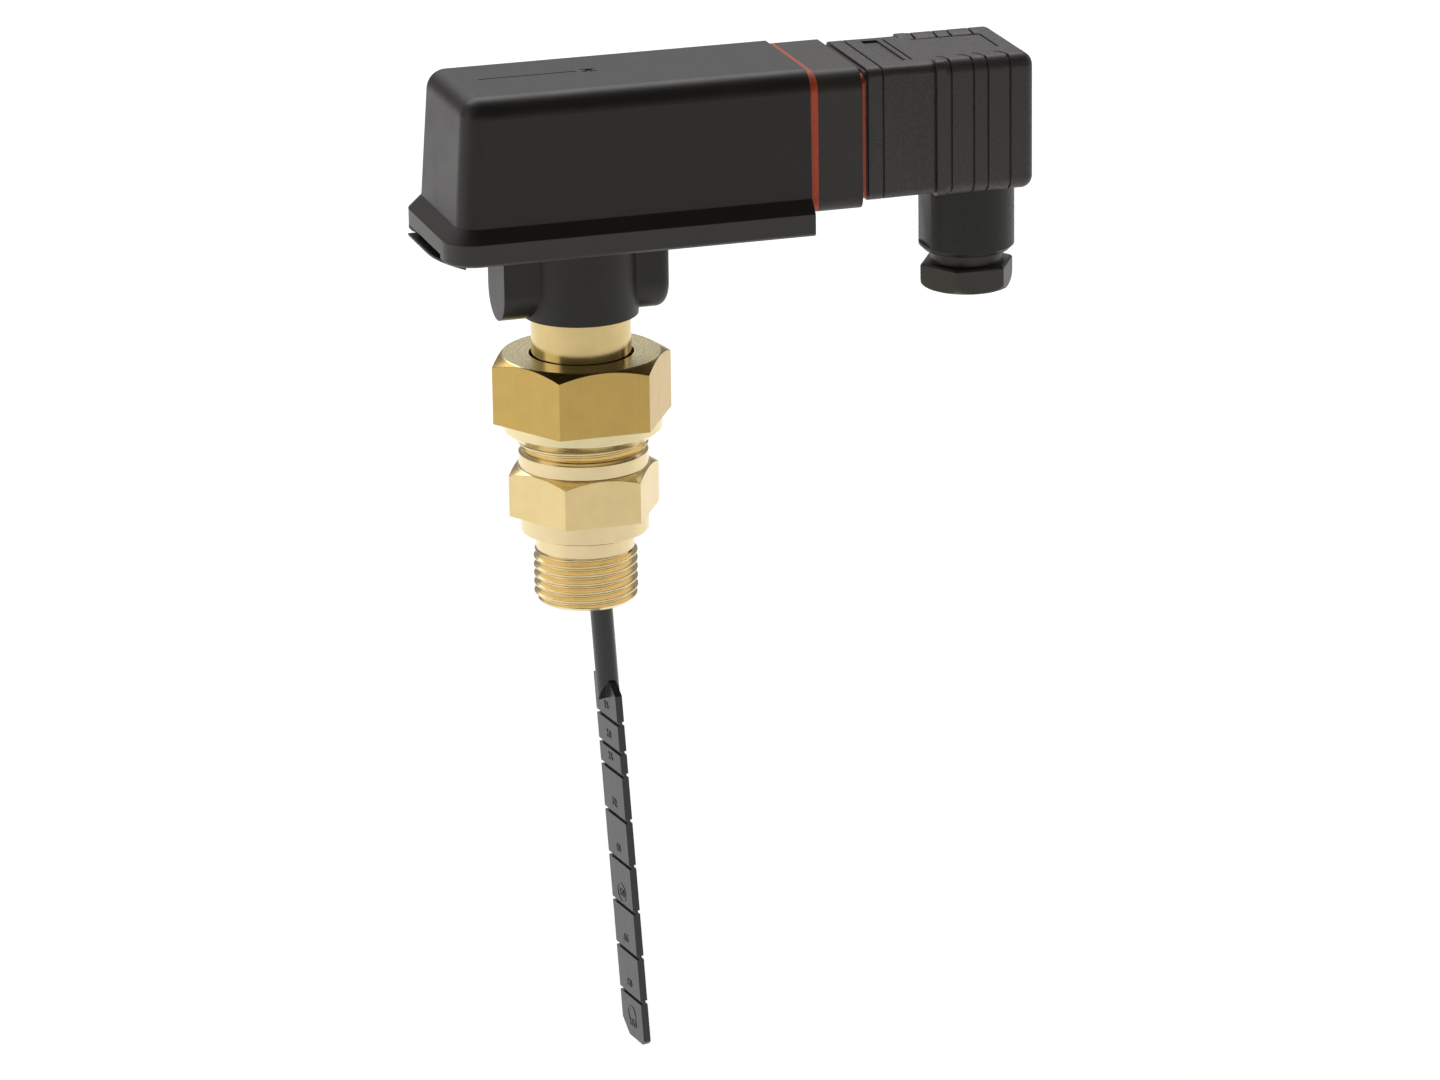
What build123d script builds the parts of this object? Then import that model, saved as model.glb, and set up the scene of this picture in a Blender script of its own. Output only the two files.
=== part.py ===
from build123d import *
import math
import os

# Paddle flow switch with a screwed brass fitting and an angled plug.
# Millimetres. The origin lies on the axis of the brass tube, in the plane of
# the fitting's underside that seats on the pipe boss. +Z runs up the tube and
# +X runs towards the plug. The paddle hangs down through the fitting.

# Fitting, screwed into the pipe
thread_radius = 20.955 / 2
thread_length = 11.0
thread_chamfer = 1.15
relief_radius = 9.85
relief_length = 3.7
boss_radius = 12.9
boss_height = 3.9
fitting_hexagon = 27.0
fitting_hexagon_height = 9.7
shoulder_radius = 13.0
shoulder_height = 3.3
union_thread_radius = 26.441 / 2
union_thread_length = 11.1
water_way_radius = 8.0

# Union
seal_thickness = 1.4
seal_width = 3.6
flange_radius = 12.4
flange_thickness = 3.4
nut_hexagon = 32.0
nut_overlap = 8.6
nut_skirt_radius = 15.9
nut_skirt_height = 3.95
nut_skirt_chamfer = 1.9
nut_mouth_rim = 0.35
nut_lip = 3.8
nut_lip_clearance = 0.47
thread_clearance = 0.08
hexagon_chamfer_angle = 30.0
hexagon_face_margin = 0.3

# Brass tube
tube_radius = 10.0
tube_spigot_radius = 9.0
tube_bore_radius = 7.4
tube_show = 8.1
tube_step = 1.5
tube_cap = 2.5
tube_over_clip = 1.1

# Paddle
pin_radius = 1.0
pin_inset = 0.2
pin_running_clearance = 0.05
seat_clearance = 0.02
paddle_rest_angle = 3.73
paddle_turn_angle = 7.0
hub_radius = 3.1
hub_width = 7.0
stem_radius = 2.3
stem_length = 63.9
stem_tail = 4.2
blade_width = 10.5
blade_thickness = 1.5
first_segment_length = 8.4
short_segment_lengths = [6.3, 4.9]
long_segment_length = 10.0
long_segment_count = 5
end_segment_length = 9.5
score_depth = 0.42
score_width = 0.8
score_notch = 0.9
blade_shoulder = 2.4
blade_tip_corner = 0.8
blade_tip_slant = 3.0
magnet_gap = 2.18
magnet_cup_radius = 3.3
magnet_radius = 2.5
magnet_height = 5.0
magnet_cup_floor = 1.2

# Base
collar_height = 16.2
collar_radius = 11.57
collar_clearance = 0.05
bar_reach = 17.15
bar_half_width = 6.04
bar_edge_radius = 2.2
plate_thickness = 3.0
plate_gap = 0.2
locating_rim_height = 3.5
locating_rim_wall = 1.5
locating_rim_end = 36.0
lip_drop = 1.15
lip_thickness = 0.45
lip_foot = 1.8
lip_far = 14.0
lip_turn = 0.0
lip_near = -15.0
lip_foot_near = -11.0
ring_seal_section = 0.8
washer_thickness = 0.5
washer_rim = 2.2
clip_thickness = 1.0
clip_rim = 1.8
clip_groove_depth = 0.55
clip_gap = 5.0

# Hood
hood_left = -31.15
hood_right = 43.1
rim_half_width = 18.8
rim_height = 4.5
rim_corner_radius = 6.3
rim_bevel = 0.5
ledge_rise = 2.6
ledge_inset = 2.2
ledge_end_inset = 2.65
hood_height = 32.4
hood_wall = 2.0
left_draft = 4.1
side_draft = 1.3
hood_edge_radius = 4.0
slot_width = 24.8
slot_height = 1.4
slot_depth = 2.5
slot_centre = 1.6
arrow_left = -19.4
arrow_right = 0.6
arrow_offset = 1.4
arrow_width = 0.4
arrow_depth = 0.25
mark_left = 1.5
mark_length = 3.0
mark_spacing = 1.7
mark_radius = 0.75

# Socket and its gasket
cover_gasket_thickness = 1.65
socket_length = 9.15
socket_half_width = 15.8
socket_bottom = 3.6
socket_top = 31.8
socket_top_radius = 3.9
socket_foot_radius = 2.4
socket_neck_radius = 11.5
socket_neck_reach = 5.0
socket_neck_clearance = 0.3
boss_wall = 1.4
boss_reach = 3.5
bush_radius = 2.6
bush_length = 7.0

# Contacts
contact_pitch = 18.0
blade_contact_width = 6.3
blade_contact_thickness = 0.8
contact_reach = 11.0
contact_tail_width = 1.2
contact_clearance = 0.2
socket_screw_pitch = 20.4
socket_screw_radius = 1.5
socket_screw_head_radius = 2.7
socket_screw_head_height = 1.4

# Switch board
board_thickness = 1.6
board_half_width = 10.5
board_left = -9.0
board_over_tube = 5.4
reed_radius = 1.2
reed_length = 14.0
reed_wire_radius = 0.3
reed_end_round = 0.72
reed_wire_reach = 3.0
return_magnet_radius = 2.0
return_magnet_height = 3.0
return_magnet_offset = 4.2
return_magnet_sink = 1.0

# Plug
plug_gasket_thickness = 1.5
plug_gasket_inset = 0.3
plug_half_width = 13.4
plug_bottom = 4.45
plug_top = 31.25
plug_length = 35.25
plug_edge_radius = 2.3
plug_wall = 1.9
rebate_width = 0.5
rebate_depth = 0.6
collar_line_at = 3.6
line_width = 0.45
line_depth = 0.42
rib_rise = 0.45
rib_fade_start = 12.2
rib_fade_end = 8.4
hook_end = 7.4
hook_radius = 1.2
rib_starts = [14.7, 17.7, 22.35, 25.35, 30.0]
panel_at = 6.7
panel_length = 3.4
panel_near = -8.3
panel_far = 9.9
cross_line_at = 11.4
frame_at = 14.0
frame_length = 17.0
frame_side = 7.4
frame_line_width = 0.8
frame_end_width = 11.0
plug_end_wall = 5.5
neck_axis_inset = 9.7
cable_neck_radius = 9.65
cable_neck_drop = 14.95
cable_neck_chamfer = 1.0
gland_bore_radius = 7.25
gland_bore_depth = 13.0
gland_clearance = 0.05
gland_hexagon = 17.0
gland_hexagon_height = 5.3
gland_foot_angle = 50.0
gland_gap = 2.5
gland_mouth_radius = 4.6
cable_passage_radius = 4.3
gland_washer_thickness = 0.8
gland_seal_height = 6.0
cable_radius = 3.5
screw_radius = 1.5
screw_head_radius = 2.9
screw_head_height = 2.2
screw_head_recess = 3.2
screw_clearance = 0.06
screw_engagement = 6.0
screw_pillar_radius = 2.9
insert_length = 17.0
insert_gap = 0.2
insert_slot_spare = 0.5
clamp_pitch = 16.0
clamp_length = 6.0
clamp_size = 5.6
clamp_screw_radius = 1.2
clamp_screw_head_radius = 2.1
clamp_screw_head_height = 1.3
driver_slot_width = 0.7
driver_slot_depth = 0.8

# Levels up the axis, worked out from the sizes above
thread_bottom = -relief_length - thread_length
hexagon_bottom = boss_height
hexagon_top = hexagon_bottom + fitting_hexagon_height
union_thread_bottom = hexagon_top + shoulder_height
fitting_top = union_thread_bottom + union_thread_length
flange_bottom = fitting_top + seal_thickness
flange_top = flange_bottom + flange_thickness
nut_bottom = fitting_top - nut_overlap
nut_top = flange_top + nut_lip
pivot_height = flange_bottom + flange_thickness / 2
collar_bottom = nut_top + tube_show
tube_step_level = collar_bottom + tube_step
house_bottom = collar_bottom + collar_height
plate_top = house_bottom + plate_thickness
clip_bottom = plate_top + washer_thickness
tube_top = clip_bottom + clip_thickness + tube_over_clip
tube_inner_top = tube_top - tube_cap
ledge_bottom = house_bottom + rim_height
ledge_top = ledge_bottom + ledge_rise
hood_top = house_bottom + hood_height

# Places along X, worked out from the sizes above
socket_left = hood_right + cover_gasket_thickness
socket_right = socket_left + socket_length
plug_left = socket_right + plug_gasket_thickness
plug_right = plug_left + plug_length
neck_axis = plug_right - neck_axis_inset
plug_centre = house_bottom + (plug_bottom + plug_top) / 2
neck_left = hood_right - socket_neck_reach
cable_neck_bottom = house_bottom + plug_bottom - cable_neck_drop
gland_bore_top = cable_neck_bottom + gland_bore_depth
gland_washer_bottom = gland_bore_top - gland_seal_height - gland_washer_thickness
gland_hexagon_top = cable_neck_bottom - gland_gap

os.makedirs("parts", exist_ok=True)


def save(solid, name):
    """Label a finished piece and write it."""
    solid.label = name
    export_step(solid, f"parts/{name}.step")


def turned(points, mode=Mode.ADD):
    """Revolve a closed outline of (radius, level) points about the tube's axis."""
    with BuildSketch(Plane.XZ) as outline:
        with BuildLine():
            Polyline(*points, close=True)
        make_face()
    revolve(outline.sketch, axis=Axis.Z, mode=mode)


def hexagon(across_flats, bottom, top, foot_angle=0, centre=(0, 0)):
    """Hexagonal prism whose corners are turned off at the top, and at the foot where asked."""
    corner = across_flats / math.sqrt(3)
    face = across_flats / 2 - hexagon_face_margin
    crown_drop = (corner - face) * math.tan(math.radians(hexagon_chamfer_angle))
    foot_rise = (corner - face) * math.tan(math.radians(foot_angle))
    with BuildSketch(Plane.XY.offset(bottom)) as section:
        with Locations(centre):
            RegularPolygon(corner, 6)
    extrude(section.sketch, amount=top - bottom)
    foot = [(face, bottom), (corner, bottom + foot_rise)] if foot_angle else [(corner, bottom)]
    crown = [(corner, top - crown_drop), (face, top)]
    middle_plane = Plane((centre[0], centre[1], 0), x_dir=(1, 0, 0), z_dir=(0, -1, 0))
    with BuildSketch(middle_plane) as cone:
        with BuildLine():
            Polyline((0, bottom), *foot, *crown, (0, top), close=True)
        make_face()
    revolve(cone.sketch, axis=Axis((centre[0], centre[1], 0), (0, 0, 1)), mode=Mode.INTERSECT)


def hood_outline(level, inset, corner):
    """Plan of the hood at a level: square at the plug end, rounded at the left end."""
    left = hood_left + inset[0]
    half = rim_half_width - inset[1]
    right = hood_right - inset[2]
    with BuildSketch(Plane.XY.offset(level)) as plan:
        with Locations(((left + right) / 2, 0)):
            Rectangle(right - left, 2 * half)
        fillet(plan.vertices().sort_by(Axis.X)[:2], corner)
    return plan.sketch


def upright(x):
    """Plane square to X, with local x along Y and local y along Z."""
    return Plane((x, 0, 0), x_dir=(0, 1, 0), z_dir=(1, 0, 0))


def end_section(x, half_width, low, high, top_radius, foot_radius):
    """Upright rounded section of the socket or the plug, square to X."""
    with BuildSketch(upright(x)) as section:
        with Locations((0, (low + high) / 2)):
            Rectangle(2 * half_width, high - low)
        fillet(section.vertices().sort_by(Axis.Y)[-2:], top_radius)
        fillet(section.vertices().sort_by(Axis.Y)[:2], foot_radius)
    return section.sketch


def square_section(x, half_size, corner):
    """Upright rounded square about the plug's centre line."""
    low = plug_centre - half_size
    high = plug_centre + half_size
    return end_section(x, half_size, low, high, corner, corner)


def discs(x, places, radius):
    """Upright circles at (Y, Z) places."""
    with BuildSketch(upright(x)) as circles:
        with Locations(*places):
            Circle(radius)
    return circles.sketch


def bars(x, places, width, height):
    """Upright rectangles at (Y, Z) places."""
    with BuildSketch(upright(x)) as rectangles:
        with Locations(*places):
            Rectangle(width, height)
    return rectangles.sketch


# Fitting: screwed into the pipe, hexagon, and the thread of the union
with BuildPart() as fitting:
    hexagon(fitting_hexagon, hexagon_bottom, hexagon_top)
    turned(
        [
            (0, thread_bottom),
            (thread_radius - thread_chamfer, thread_bottom),
            (thread_radius, thread_bottom + thread_chamfer),
            (thread_radius, -relief_length),
            (relief_radius, -relief_length),
            (relief_radius, 0),
            (boss_radius, 0),
            (boss_radius, hexagon_bottom),
            (shoulder_radius, hexagon_bottom),
            (shoulder_radius, union_thread_bottom),
            (union_thread_radius, union_thread_bottom),
            (union_thread_radius, fitting_top - thread_chamfer),
            (union_thread_radius - thread_chamfer, fitting_top),
            (0, fitting_top),
        ]
    )
    with Locations((0, 0, fitting_top)):
        Hole(water_way_radius, depth=fitting_top - thread_bottom)
save(fitting.part, "fitting")

# Flat seal between the fitting and the tube's flange
with BuildPart() as union_seal:
    with BuildSketch(Plane.XY.offset(fitting_top)):
        Circle(flange_radius - plate_gap)
        Circle(flange_radius - plate_gap - seal_width, mode=Mode.SUBTRACT)
    extrude(amount=seal_thickness)
save(union_seal.part, "union_seal")

# Union nut: clamps the flange of the tube onto the seal
nut_inner = union_thread_radius + thread_clearance
with BuildPart() as union_nut:
    hexagon(nut_hexagon, nut_bottom + nut_skirt_height, nut_top)
    turned(
        [
            (0, nut_bottom),
            (nut_inner + nut_mouth_rim, nut_bottom),
            (nut_skirt_radius, nut_bottom + nut_skirt_chamfer),
            (nut_skirt_radius, nut_bottom + nut_skirt_height),
            (0, nut_bottom + nut_skirt_height),
        ]
    )
    turned(
        [
            (0, nut_bottom),
            (nut_inner, nut_bottom),
            (nut_inner, flange_top),
            (tube_radius + nut_lip_clearance, flange_top),
            (tube_radius + nut_lip_clearance, nut_top),
            (0, nut_top),
        ],
        mode=Mode.SUBTRACT,
    )
save(union_nut.part, "union_nut")

# Brass tube: closed at the top, so that the water stays below the switch
pin_plane = Plane(
    Location((0, 0, pivot_height), (0, 0, paddle_turn_angle)) * Location((0, 0, 0), (90, 0, 0))
)
clip_groove_radius = tube_spigot_radius - clip_groove_depth
clip_radius = tube_spigot_radius + clip_rim
pin_length = 2 * (flange_radius - pin_inset)
with BuildPart() as sensor_tube:
    turned(
        [
            (tube_bore_radius, flange_bottom),
            (flange_radius, flange_bottom),
            (flange_radius, flange_top),
            (tube_radius, flange_top),
            (tube_radius, tube_step_level),
            (tube_spigot_radius, tube_step_level),
            (tube_spigot_radius, clip_bottom),
            (clip_groove_radius, clip_bottom),
            (clip_groove_radius, clip_bottom + clip_thickness),
            (tube_spigot_radius, clip_bottom + clip_thickness),
            (tube_spigot_radius, tube_top),
            (0, tube_top),
            (0, tube_inner_top),
            (tube_bore_radius - tube_cap, tube_inner_top),
            (tube_bore_radius, tube_inner_top - tube_cap),
        ]
    )
    with BuildSketch(pin_plane):
        Circle(pin_radius + seat_clearance)
    extrude(amount=flange_radius, both=True, mode=Mode.SUBTRACT)
    with BuildSketch(Plane.XY.offset(tube_top)):
        with Locations((return_magnet_offset, 0)):
            Circle(return_magnet_radius + seat_clearance)
    extrude(amount=-return_magnet_sink, mode=Mode.SUBTRACT)
save(sensor_tube.part, "sensor_tube")

# Hinge pin of the paddle, held in the flange and kept in by the nut
with BuildPart() as pivot_pin:
    with BuildSketch(pin_plane):
        Circle(pin_radius)
    extrude(amount=pin_length / 2, both=True)
save(pivot_pin.part, "pivot_pin")

# Magnet on the dry side that brings the paddle back
with BuildPart() as return_magnet:
    with BuildSketch(Plane.XY.offset(tube_top - return_magnet_sink)):
        with Locations((return_magnet_offset, 0)):
            Circle(return_magnet_radius)
    extrude(amount=return_magnet_height)
save(return_magnet.part, "return_magnet")

# Paddle: hub, stem and blade below the pin, magnet arm above it.
# It is drawn in its own leaning frame, with local X square to the blade.
lean = Location((0, 0, pivot_height), (0, 0, paddle_turn_angle))
hang = Plane(lean * Location((0, 0, 0), (0, -paddle_rest_angle, 0)))
broad = Plane(hang.origin, x_dir=hang.y_dir, z_dir=hang.x_dir)
edge_on = Plane(hang.origin, x_dir=hang.x_dir, z_dir=-hang.y_dir)
score_drops = [stem_length + first_segment_length]
for step in short_segment_lengths + [long_segment_length] * long_segment_count:
    score_drops.append(score_drops[-1] + step)
blade_end = score_drops[-1] + end_segment_length
cup_height = magnet_cup_floor + magnet_height + seat_clearance
arm_length = tube_inner_top - pivot_height - cup_height - magnet_gap
with BuildPart() as stem_end:
    with BuildSketch(hang.offset(-stem_length)):
        Circle(stem_radius)
    extrude(amount=-stem_tail)
    with BuildSketch(broad) as point:
        with BuildLine():
            Polyline(
                (-stem_radius, -stem_length),
                (stem_radius, -stem_length),
                (0, -stem_length - stem_tail),
                close=True,
            )
        make_face()
    extrude(point.sketch, amount=stem_radius, both=True, mode=Mode.INTERSECT)

with BuildPart() as paddle:
    with BuildSketch(edge_on):
        Circle(hub_radius)
    extrude(amount=hub_width / 2, both=True)
    with BuildSketch(hang.offset(arm_length)):
        Circle(stem_radius)
    extrude(amount=-(arm_length + stem_length))
    with BuildSketch(hang.offset(arm_length)):
        Circle(magnet_cup_radius)
    extrude(amount=cup_height)
    with BuildSketch(hang.offset(arm_length + magnet_cup_floor)):
        Circle(magnet_radius + seat_clearance)
    extrude(amount=2 * magnet_height, mode=Mode.SUBTRACT)
    with BuildSketch(broad):
        with BuildLine():
            Polyline(
                (blade_shoulder - blade_width / 2, -stem_length),
                (-blade_width / 2, -stem_length - blade_shoulder),
                (-blade_width / 2, -blade_end + blade_tip_corner),
                (blade_tip_corner - blade_width / 2, -blade_end),
                (blade_width / 2 - blade_tip_slant, -blade_end),
                (blade_width / 2, -blade_end + blade_tip_slant),
                (blade_width / 2, -stem_length),
                close=True,
            )
        make_face()
    extrude(amount=blade_thickness / 2, both=True)
    add(stem_end.part)
    for drop in score_drops:
        for side in (-1, 1):
            with BuildSketch(edge_on) as score:
                with Locations((side * blade_thickness / 2, -drop)):
                    Rectangle(2 * score_depth, score_width)
            extrude(score.sketch, amount=blade_width, both=True, mode=Mode.SUBTRACT)
        with BuildSketch(broad) as notch:
            with Locations((blade_width / 2, -drop)):
                Rectangle(2 * score_notch, score_width)
        extrude(notch.sketch, amount=blade_thickness, both=True, mode=Mode.SUBTRACT)
    with BuildSketch(edge_on):
        Circle(pin_radius + pin_running_clearance)
    extrude(amount=hub_width, both=True, mode=Mode.SUBTRACT)
save(paddle.part, "paddle")

with BuildPart() as paddle_magnet:
    with BuildSketch(hang.offset(arm_length + magnet_cup_floor)):
        Circle(magnet_radius)
    extrude(amount=magnet_height)
save(paddle_magnet.part, "paddle_magnet")


# Base: plate inside the hood's rim, collar over the tube, cross bar for the hand
plate_inset = hood_wall + plate_gap
rim_inset = ledge_inset + hood_wall + plate_gap
rim_end_inset = ledge_end_inset + hood_wall + plate_gap
ring_recess_radius = tube_spigot_radius + collar_clearance + 2 * ring_seal_section
with BuildPart() as base_plate:
    plate = hood_outline(house_bottom, [plate_inset] * 3, rim_corner_radius - plate_inset)
    extrude(plate, amount=plate_thickness)
    rim_corner = rim_corner_radius - rim_inset
    rim_right = hood_right - locating_rim_end
    extrude(
        hood_outline(plate_top, [rim_end_inset, rim_inset, rim_right], rim_corner),
        amount=locating_rim_height,
    )
    extrude(
        hood_outline(
            plate_top,
            [rim_end_inset + locating_rim_wall, rim_inset + locating_rim_wall, rim_right],
            rim_corner - locating_rim_wall / 2,
        ),
        amount=locating_rim_height,
        mode=Mode.SUBTRACT,
    )
    lip_root = hood_left + plate_inset + lip_foot
    with BuildSketch(Plane.XY.offset(house_bottom - lip_drop)):
        with BuildLine():
            outer_edge = Line((hood_left, lip_far), (hood_left, lip_turn))
            TangentArc(outer_edge @ 1, (lip_root, lip_near), tangent=(0, -1))
            Polyline((lip_root, lip_near), (lip_root, lip_far), outer_edge @ 0)
        make_face()
    extrude(amount=lip_thickness)
    with BuildSketch(Plane.XY.offset(house_bottom - lip_drop)):
        with Locations((lip_root - lip_foot / 2, (lip_far + lip_foot_near) / 2)):
            Rectangle(lip_foot, lip_far - lip_foot_near)
    extrude(amount=lip_drop)
    with BuildSketch(upright(-bar_reach)) as bar:
        with BuildLine():
            Polyline(
                (-bar_half_width, collar_bottom + bar_half_width),
                (-bar_half_width, house_bottom),
                (bar_half_width, house_bottom),
                (bar_half_width, collar_bottom + bar_half_width),
            )
            RadiusArc(
                (bar_half_width, collar_bottom + bar_half_width),
                (-bar_half_width, collar_bottom + bar_half_width),
                bar_half_width,
            )
        make_face()
    extrude(bar.sketch, amount=2 * bar_reach)
    bar_ends = base_plate.faces().filter_by(Axis.X).filter_by_position(
        Axis.Z, collar_bottom, house_bottom
    )
    end_edges = bar_ends.edges().filter_by_position(Axis.Z, collar_bottom, house_bottom - bar_edge_radius)
    fillet(end_edges, bar_edge_radius)
    with BuildSketch(Plane.XY.offset(collar_bottom)):
        Circle(collar_radius)
    extrude(amount=collar_height)
    turned(
        [
            (0, collar_bottom),
            (tube_radius + collar_clearance, collar_bottom),
            (tube_radius + collar_clearance, tube_step_level),
            (tube_spigot_radius + collar_clearance, tube_step_level),
            (tube_spigot_radius + collar_clearance, plate_top - 2 * ring_seal_section),
            (ring_recess_radius, plate_top - 2 * ring_seal_section),
            (ring_recess_radius, plate_top),
            (0, plate_top),
        ],
        mode=Mode.SUBTRACT,
    )
save(base_plate.part, "base_plate")

# Ring seal, washer and circlip that hold the base on the tube
with BuildPart() as tube_o_ring:
    with BuildSketch(Plane.XZ):
        ring_centre = tube_spigot_radius + ring_seal_section + seat_clearance
        with Locations((ring_centre, plate_top - ring_seal_section)):
            Circle(ring_seal_section)
    revolve(axis=Axis.Z)
save(tube_o_ring.part, "tube_o_ring")

with BuildPart() as tube_washer:
    with BuildSketch(Plane.XY.offset(plate_top)):
        Circle(tube_spigot_radius + washer_rim)
        Circle(tube_spigot_radius + collar_clearance, mode=Mode.SUBTRACT)
    extrude(amount=washer_thickness)
save(tube_washer.part, "tube_washer")

with BuildPart() as tube_circlip:
    with BuildSketch(Plane.XY.offset(clip_bottom)):
        Circle(clip_radius)
        Circle(clip_groove_radius + seat_clearance, mode=Mode.SUBTRACT)
        with Locations((-clip_radius, 0)):
            Rectangle(clip_radius, clip_gap, mode=Mode.SUBTRACT)
    extrude(amount=clip_thickness)
save(tube_circlip.part, "tube_circlip")

# Hood: rim, sloping ledge and drafted body, hollow, with a wall at the plug end
hood_corner = rim_corner_radius - ledge_inset
body_rise = hood_top - ledge_top
left_lean = body_rise * math.tan(math.radians(left_draft))
side_lean = body_rise * math.tan(math.radians(side_draft))
foot_inset = [ledge_end_inset, ledge_inset, 0]
crown_inset = [ledge_end_inset + left_lean, ledge_inset + side_lean, 0]
screw_half_pitch = socket_screw_pitch / 2
screw_places = [
    (y, plug_centre + z)
    for y in (-screw_half_pitch, screw_half_pitch)
    for z in (-screw_half_pitch, screw_half_pitch)
]
with BuildPart() as cover:
    rim = hood_outline(house_bottom, [0, 0, 0], rim_corner_radius)
    extrude(rim, amount=rim_height)
    foot_edges = cover.edges().group_by(Axis.Z)[0].sort_by(Axis.X)[:-1]
    chamfer(foot_edges, rim_bevel)
    foot = hood_outline(ledge_top, foot_inset, hood_corner)
    crown = hood_outline(hood_top, crown_inset, hood_corner)
    loft([hood_outline(ledge_bottom, [0, 0, 0], rim_corner_radius), foot])
    loft([foot, crown])
    crown_edges = cover.faces().sort_by(Axis.Z)[-1].edges().sort_by(Axis.X)[:-1]
    fillet(crown_edges, hood_edge_radius)
    slot_radius = (slot_width**2 / 4 + slot_depth**2) / (2 * slot_depth)
    with BuildSketch(Plane.XY.offset(house_bottom)):
        with Locations((hood_left + slot_depth - slot_radius, slot_centre)):
            Circle(slot_radius)
    extrude(amount=slot_height, mode=Mode.SUBTRACT)
    pocket = hood_outline(house_bottom, [hood_wall] * 3, rim_corner_radius - hood_wall)
    extrude(pocket, amount=plate_thickness, mode=Mode.SUBTRACT)
    inner_foot = [inset + hood_wall for inset in foot_inset]
    inner_crown = [inset + hood_wall for inset in crown_inset]
    inner_corner = hood_corner - hood_wall
    lower_room = hood_outline(plate_top, inner_foot, inner_corner)
    extrude(lower_room, amount=ledge_top - plate_top, mode=Mode.SUBTRACT)
    loft(
        [
            hood_outline(ledge_top, inner_foot, inner_corner),
            hood_outline(hood_top - hood_wall, inner_crown, inner_corner),
        ],
        mode=Mode.SUBTRACT,
    )
    boss_left = hood_right - hood_wall - boss_reach
    extrude(
        discs(boss_left, screw_places, socket_screw_radius + boss_wall),
        amount=hood_wall + boss_reach,
    )
    neck_place = [(0, plug_centre)]
    extrude(
        discs(boss_left, neck_place, socket_neck_radius + socket_neck_clearance),
        amount=hood_wall + boss_reach,
        mode=Mode.SUBTRACT,
    )
    extrude(
        discs(boss_left, screw_places, socket_screw_radius + seat_clearance),
        amount=hood_wall + boss_reach,
        mode=Mode.SUBTRACT,
    )
    mark_middle = mark_left + mark_length / 2
    with BuildSketch(Plane.XY.offset(hood_top)) as arrow:
        with Locations(((arrow_left + arrow_right) / 2, arrow_offset)):
            Rectangle(arrow_right - arrow_left, arrow_width)
        for side in (-1, 1):
            with Locations((mark_middle, arrow_offset + side * mark_spacing / 2)):
                Rectangle(mark_length, arrow_width)
        with Locations((mark_middle, arrow_offset)):
            Circle(mark_radius)
    extrude(arrow.sketch, amount=-arrow_depth, mode=Mode.SUBTRACT)
save(cover.part, "cover")

# Gasket between the hood's end and the socket
socket_low = house_bottom + socket_bottom
socket_high = house_bottom + socket_top
socket_shape = [socket_half_width, socket_low, socket_high, socket_top_radius, socket_foot_radius]
with BuildPart() as cover_gasket:
    extrude(end_section(hood_right, *socket_shape), amount=cover_gasket_thickness)
    extrude(
        discs(hood_right, neck_place, socket_neck_radius + socket_neck_clearance),
        amount=cover_gasket_thickness,
        mode=Mode.SUBTRACT,
    )
    extrude(
        discs(hood_right, screw_places, socket_screw_radius + seat_clearance),
        amount=cover_gasket_thickness,
        mode=Mode.SUBTRACT,
    )
save(cover_gasket.part, "cover_gasket")

# Socket: block outside the hood, round neck through its end wall
half_contact_pitch = contact_pitch / 2
line_places = [(-half_contact_pitch, plug_centre), (half_contact_pitch, plug_centre)]
third_place = [(0, plug_centre + half_contact_pitch)]
earth_place = [(0, plug_centre - half_contact_pitch)]
slot_wide = blade_contact_width + 2 * seat_clearance
slot_thin = blade_contact_thickness + 2 * seat_clearance
with BuildPart() as socket_block:
    extrude(end_section(socket_left, *socket_shape), amount=socket_length)
    extrude(discs(neck_left, neck_place, socket_neck_radius), amount=socket_left - neck_left)
    whole_length = socket_right - neck_left
    extrude(
        bars(neck_left, line_places, slot_thin, slot_wide),
        amount=whole_length,
        mode=Mode.SUBTRACT,
    )
    extrude(
        bars(neck_left, third_place + earth_place, slot_wide, slot_thin),
        amount=whole_length,
        mode=Mode.SUBTRACT,
    )
    extrude(
        discs(socket_left, screw_places, socket_screw_radius + seat_clearance),
        amount=socket_length,
        mode=Mode.SUBTRACT,
    )
    extrude(
        discs(
            socket_right - socket_screw_head_height,
            screw_places,
            socket_screw_head_radius + seat_clearance,
        ),
        amount=socket_screw_head_height,
        mode=Mode.SUBTRACT,
    )
    extrude(
        discs(socket_right - bush_length, neck_place, bush_radius),
        amount=bush_length,
        mode=Mode.SUBTRACT,
    )
save(socket_block.part, "socket_block")

with BuildPart() as screw_bush:
    extrude(discs(socket_right - bush_length, neck_place, bush_radius), amount=bush_length)
    extrude(
        discs(socket_right - bush_length, neck_place, screw_radius + screw_clearance),
        amount=bush_length,
        mode=Mode.SUBTRACT,
    )
save(screw_bush.part, "screw_bush")

# Screws of the socket, with a driver slot in each flat head
screw_heads_left = socket_right - socket_screw_head_height
with BuildPart() as socket_screws:
    extrude(
        discs(boss_left, screw_places, socket_screw_radius),
        amount=socket_right - boss_left,
    )
    extrude(
        discs(screw_heads_left, screw_places, socket_screw_head_radius),
        amount=socket_screw_head_height,
    )
    extrude(
        bars(
            socket_right - driver_slot_depth,
            screw_places,
            2 * socket_screw_head_radius,
            driver_slot_width,
        ),
        amount=driver_slot_depth,
        mode=Mode.SUBTRACT,
    )
save(socket_screws.part, "socket_screws")

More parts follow.
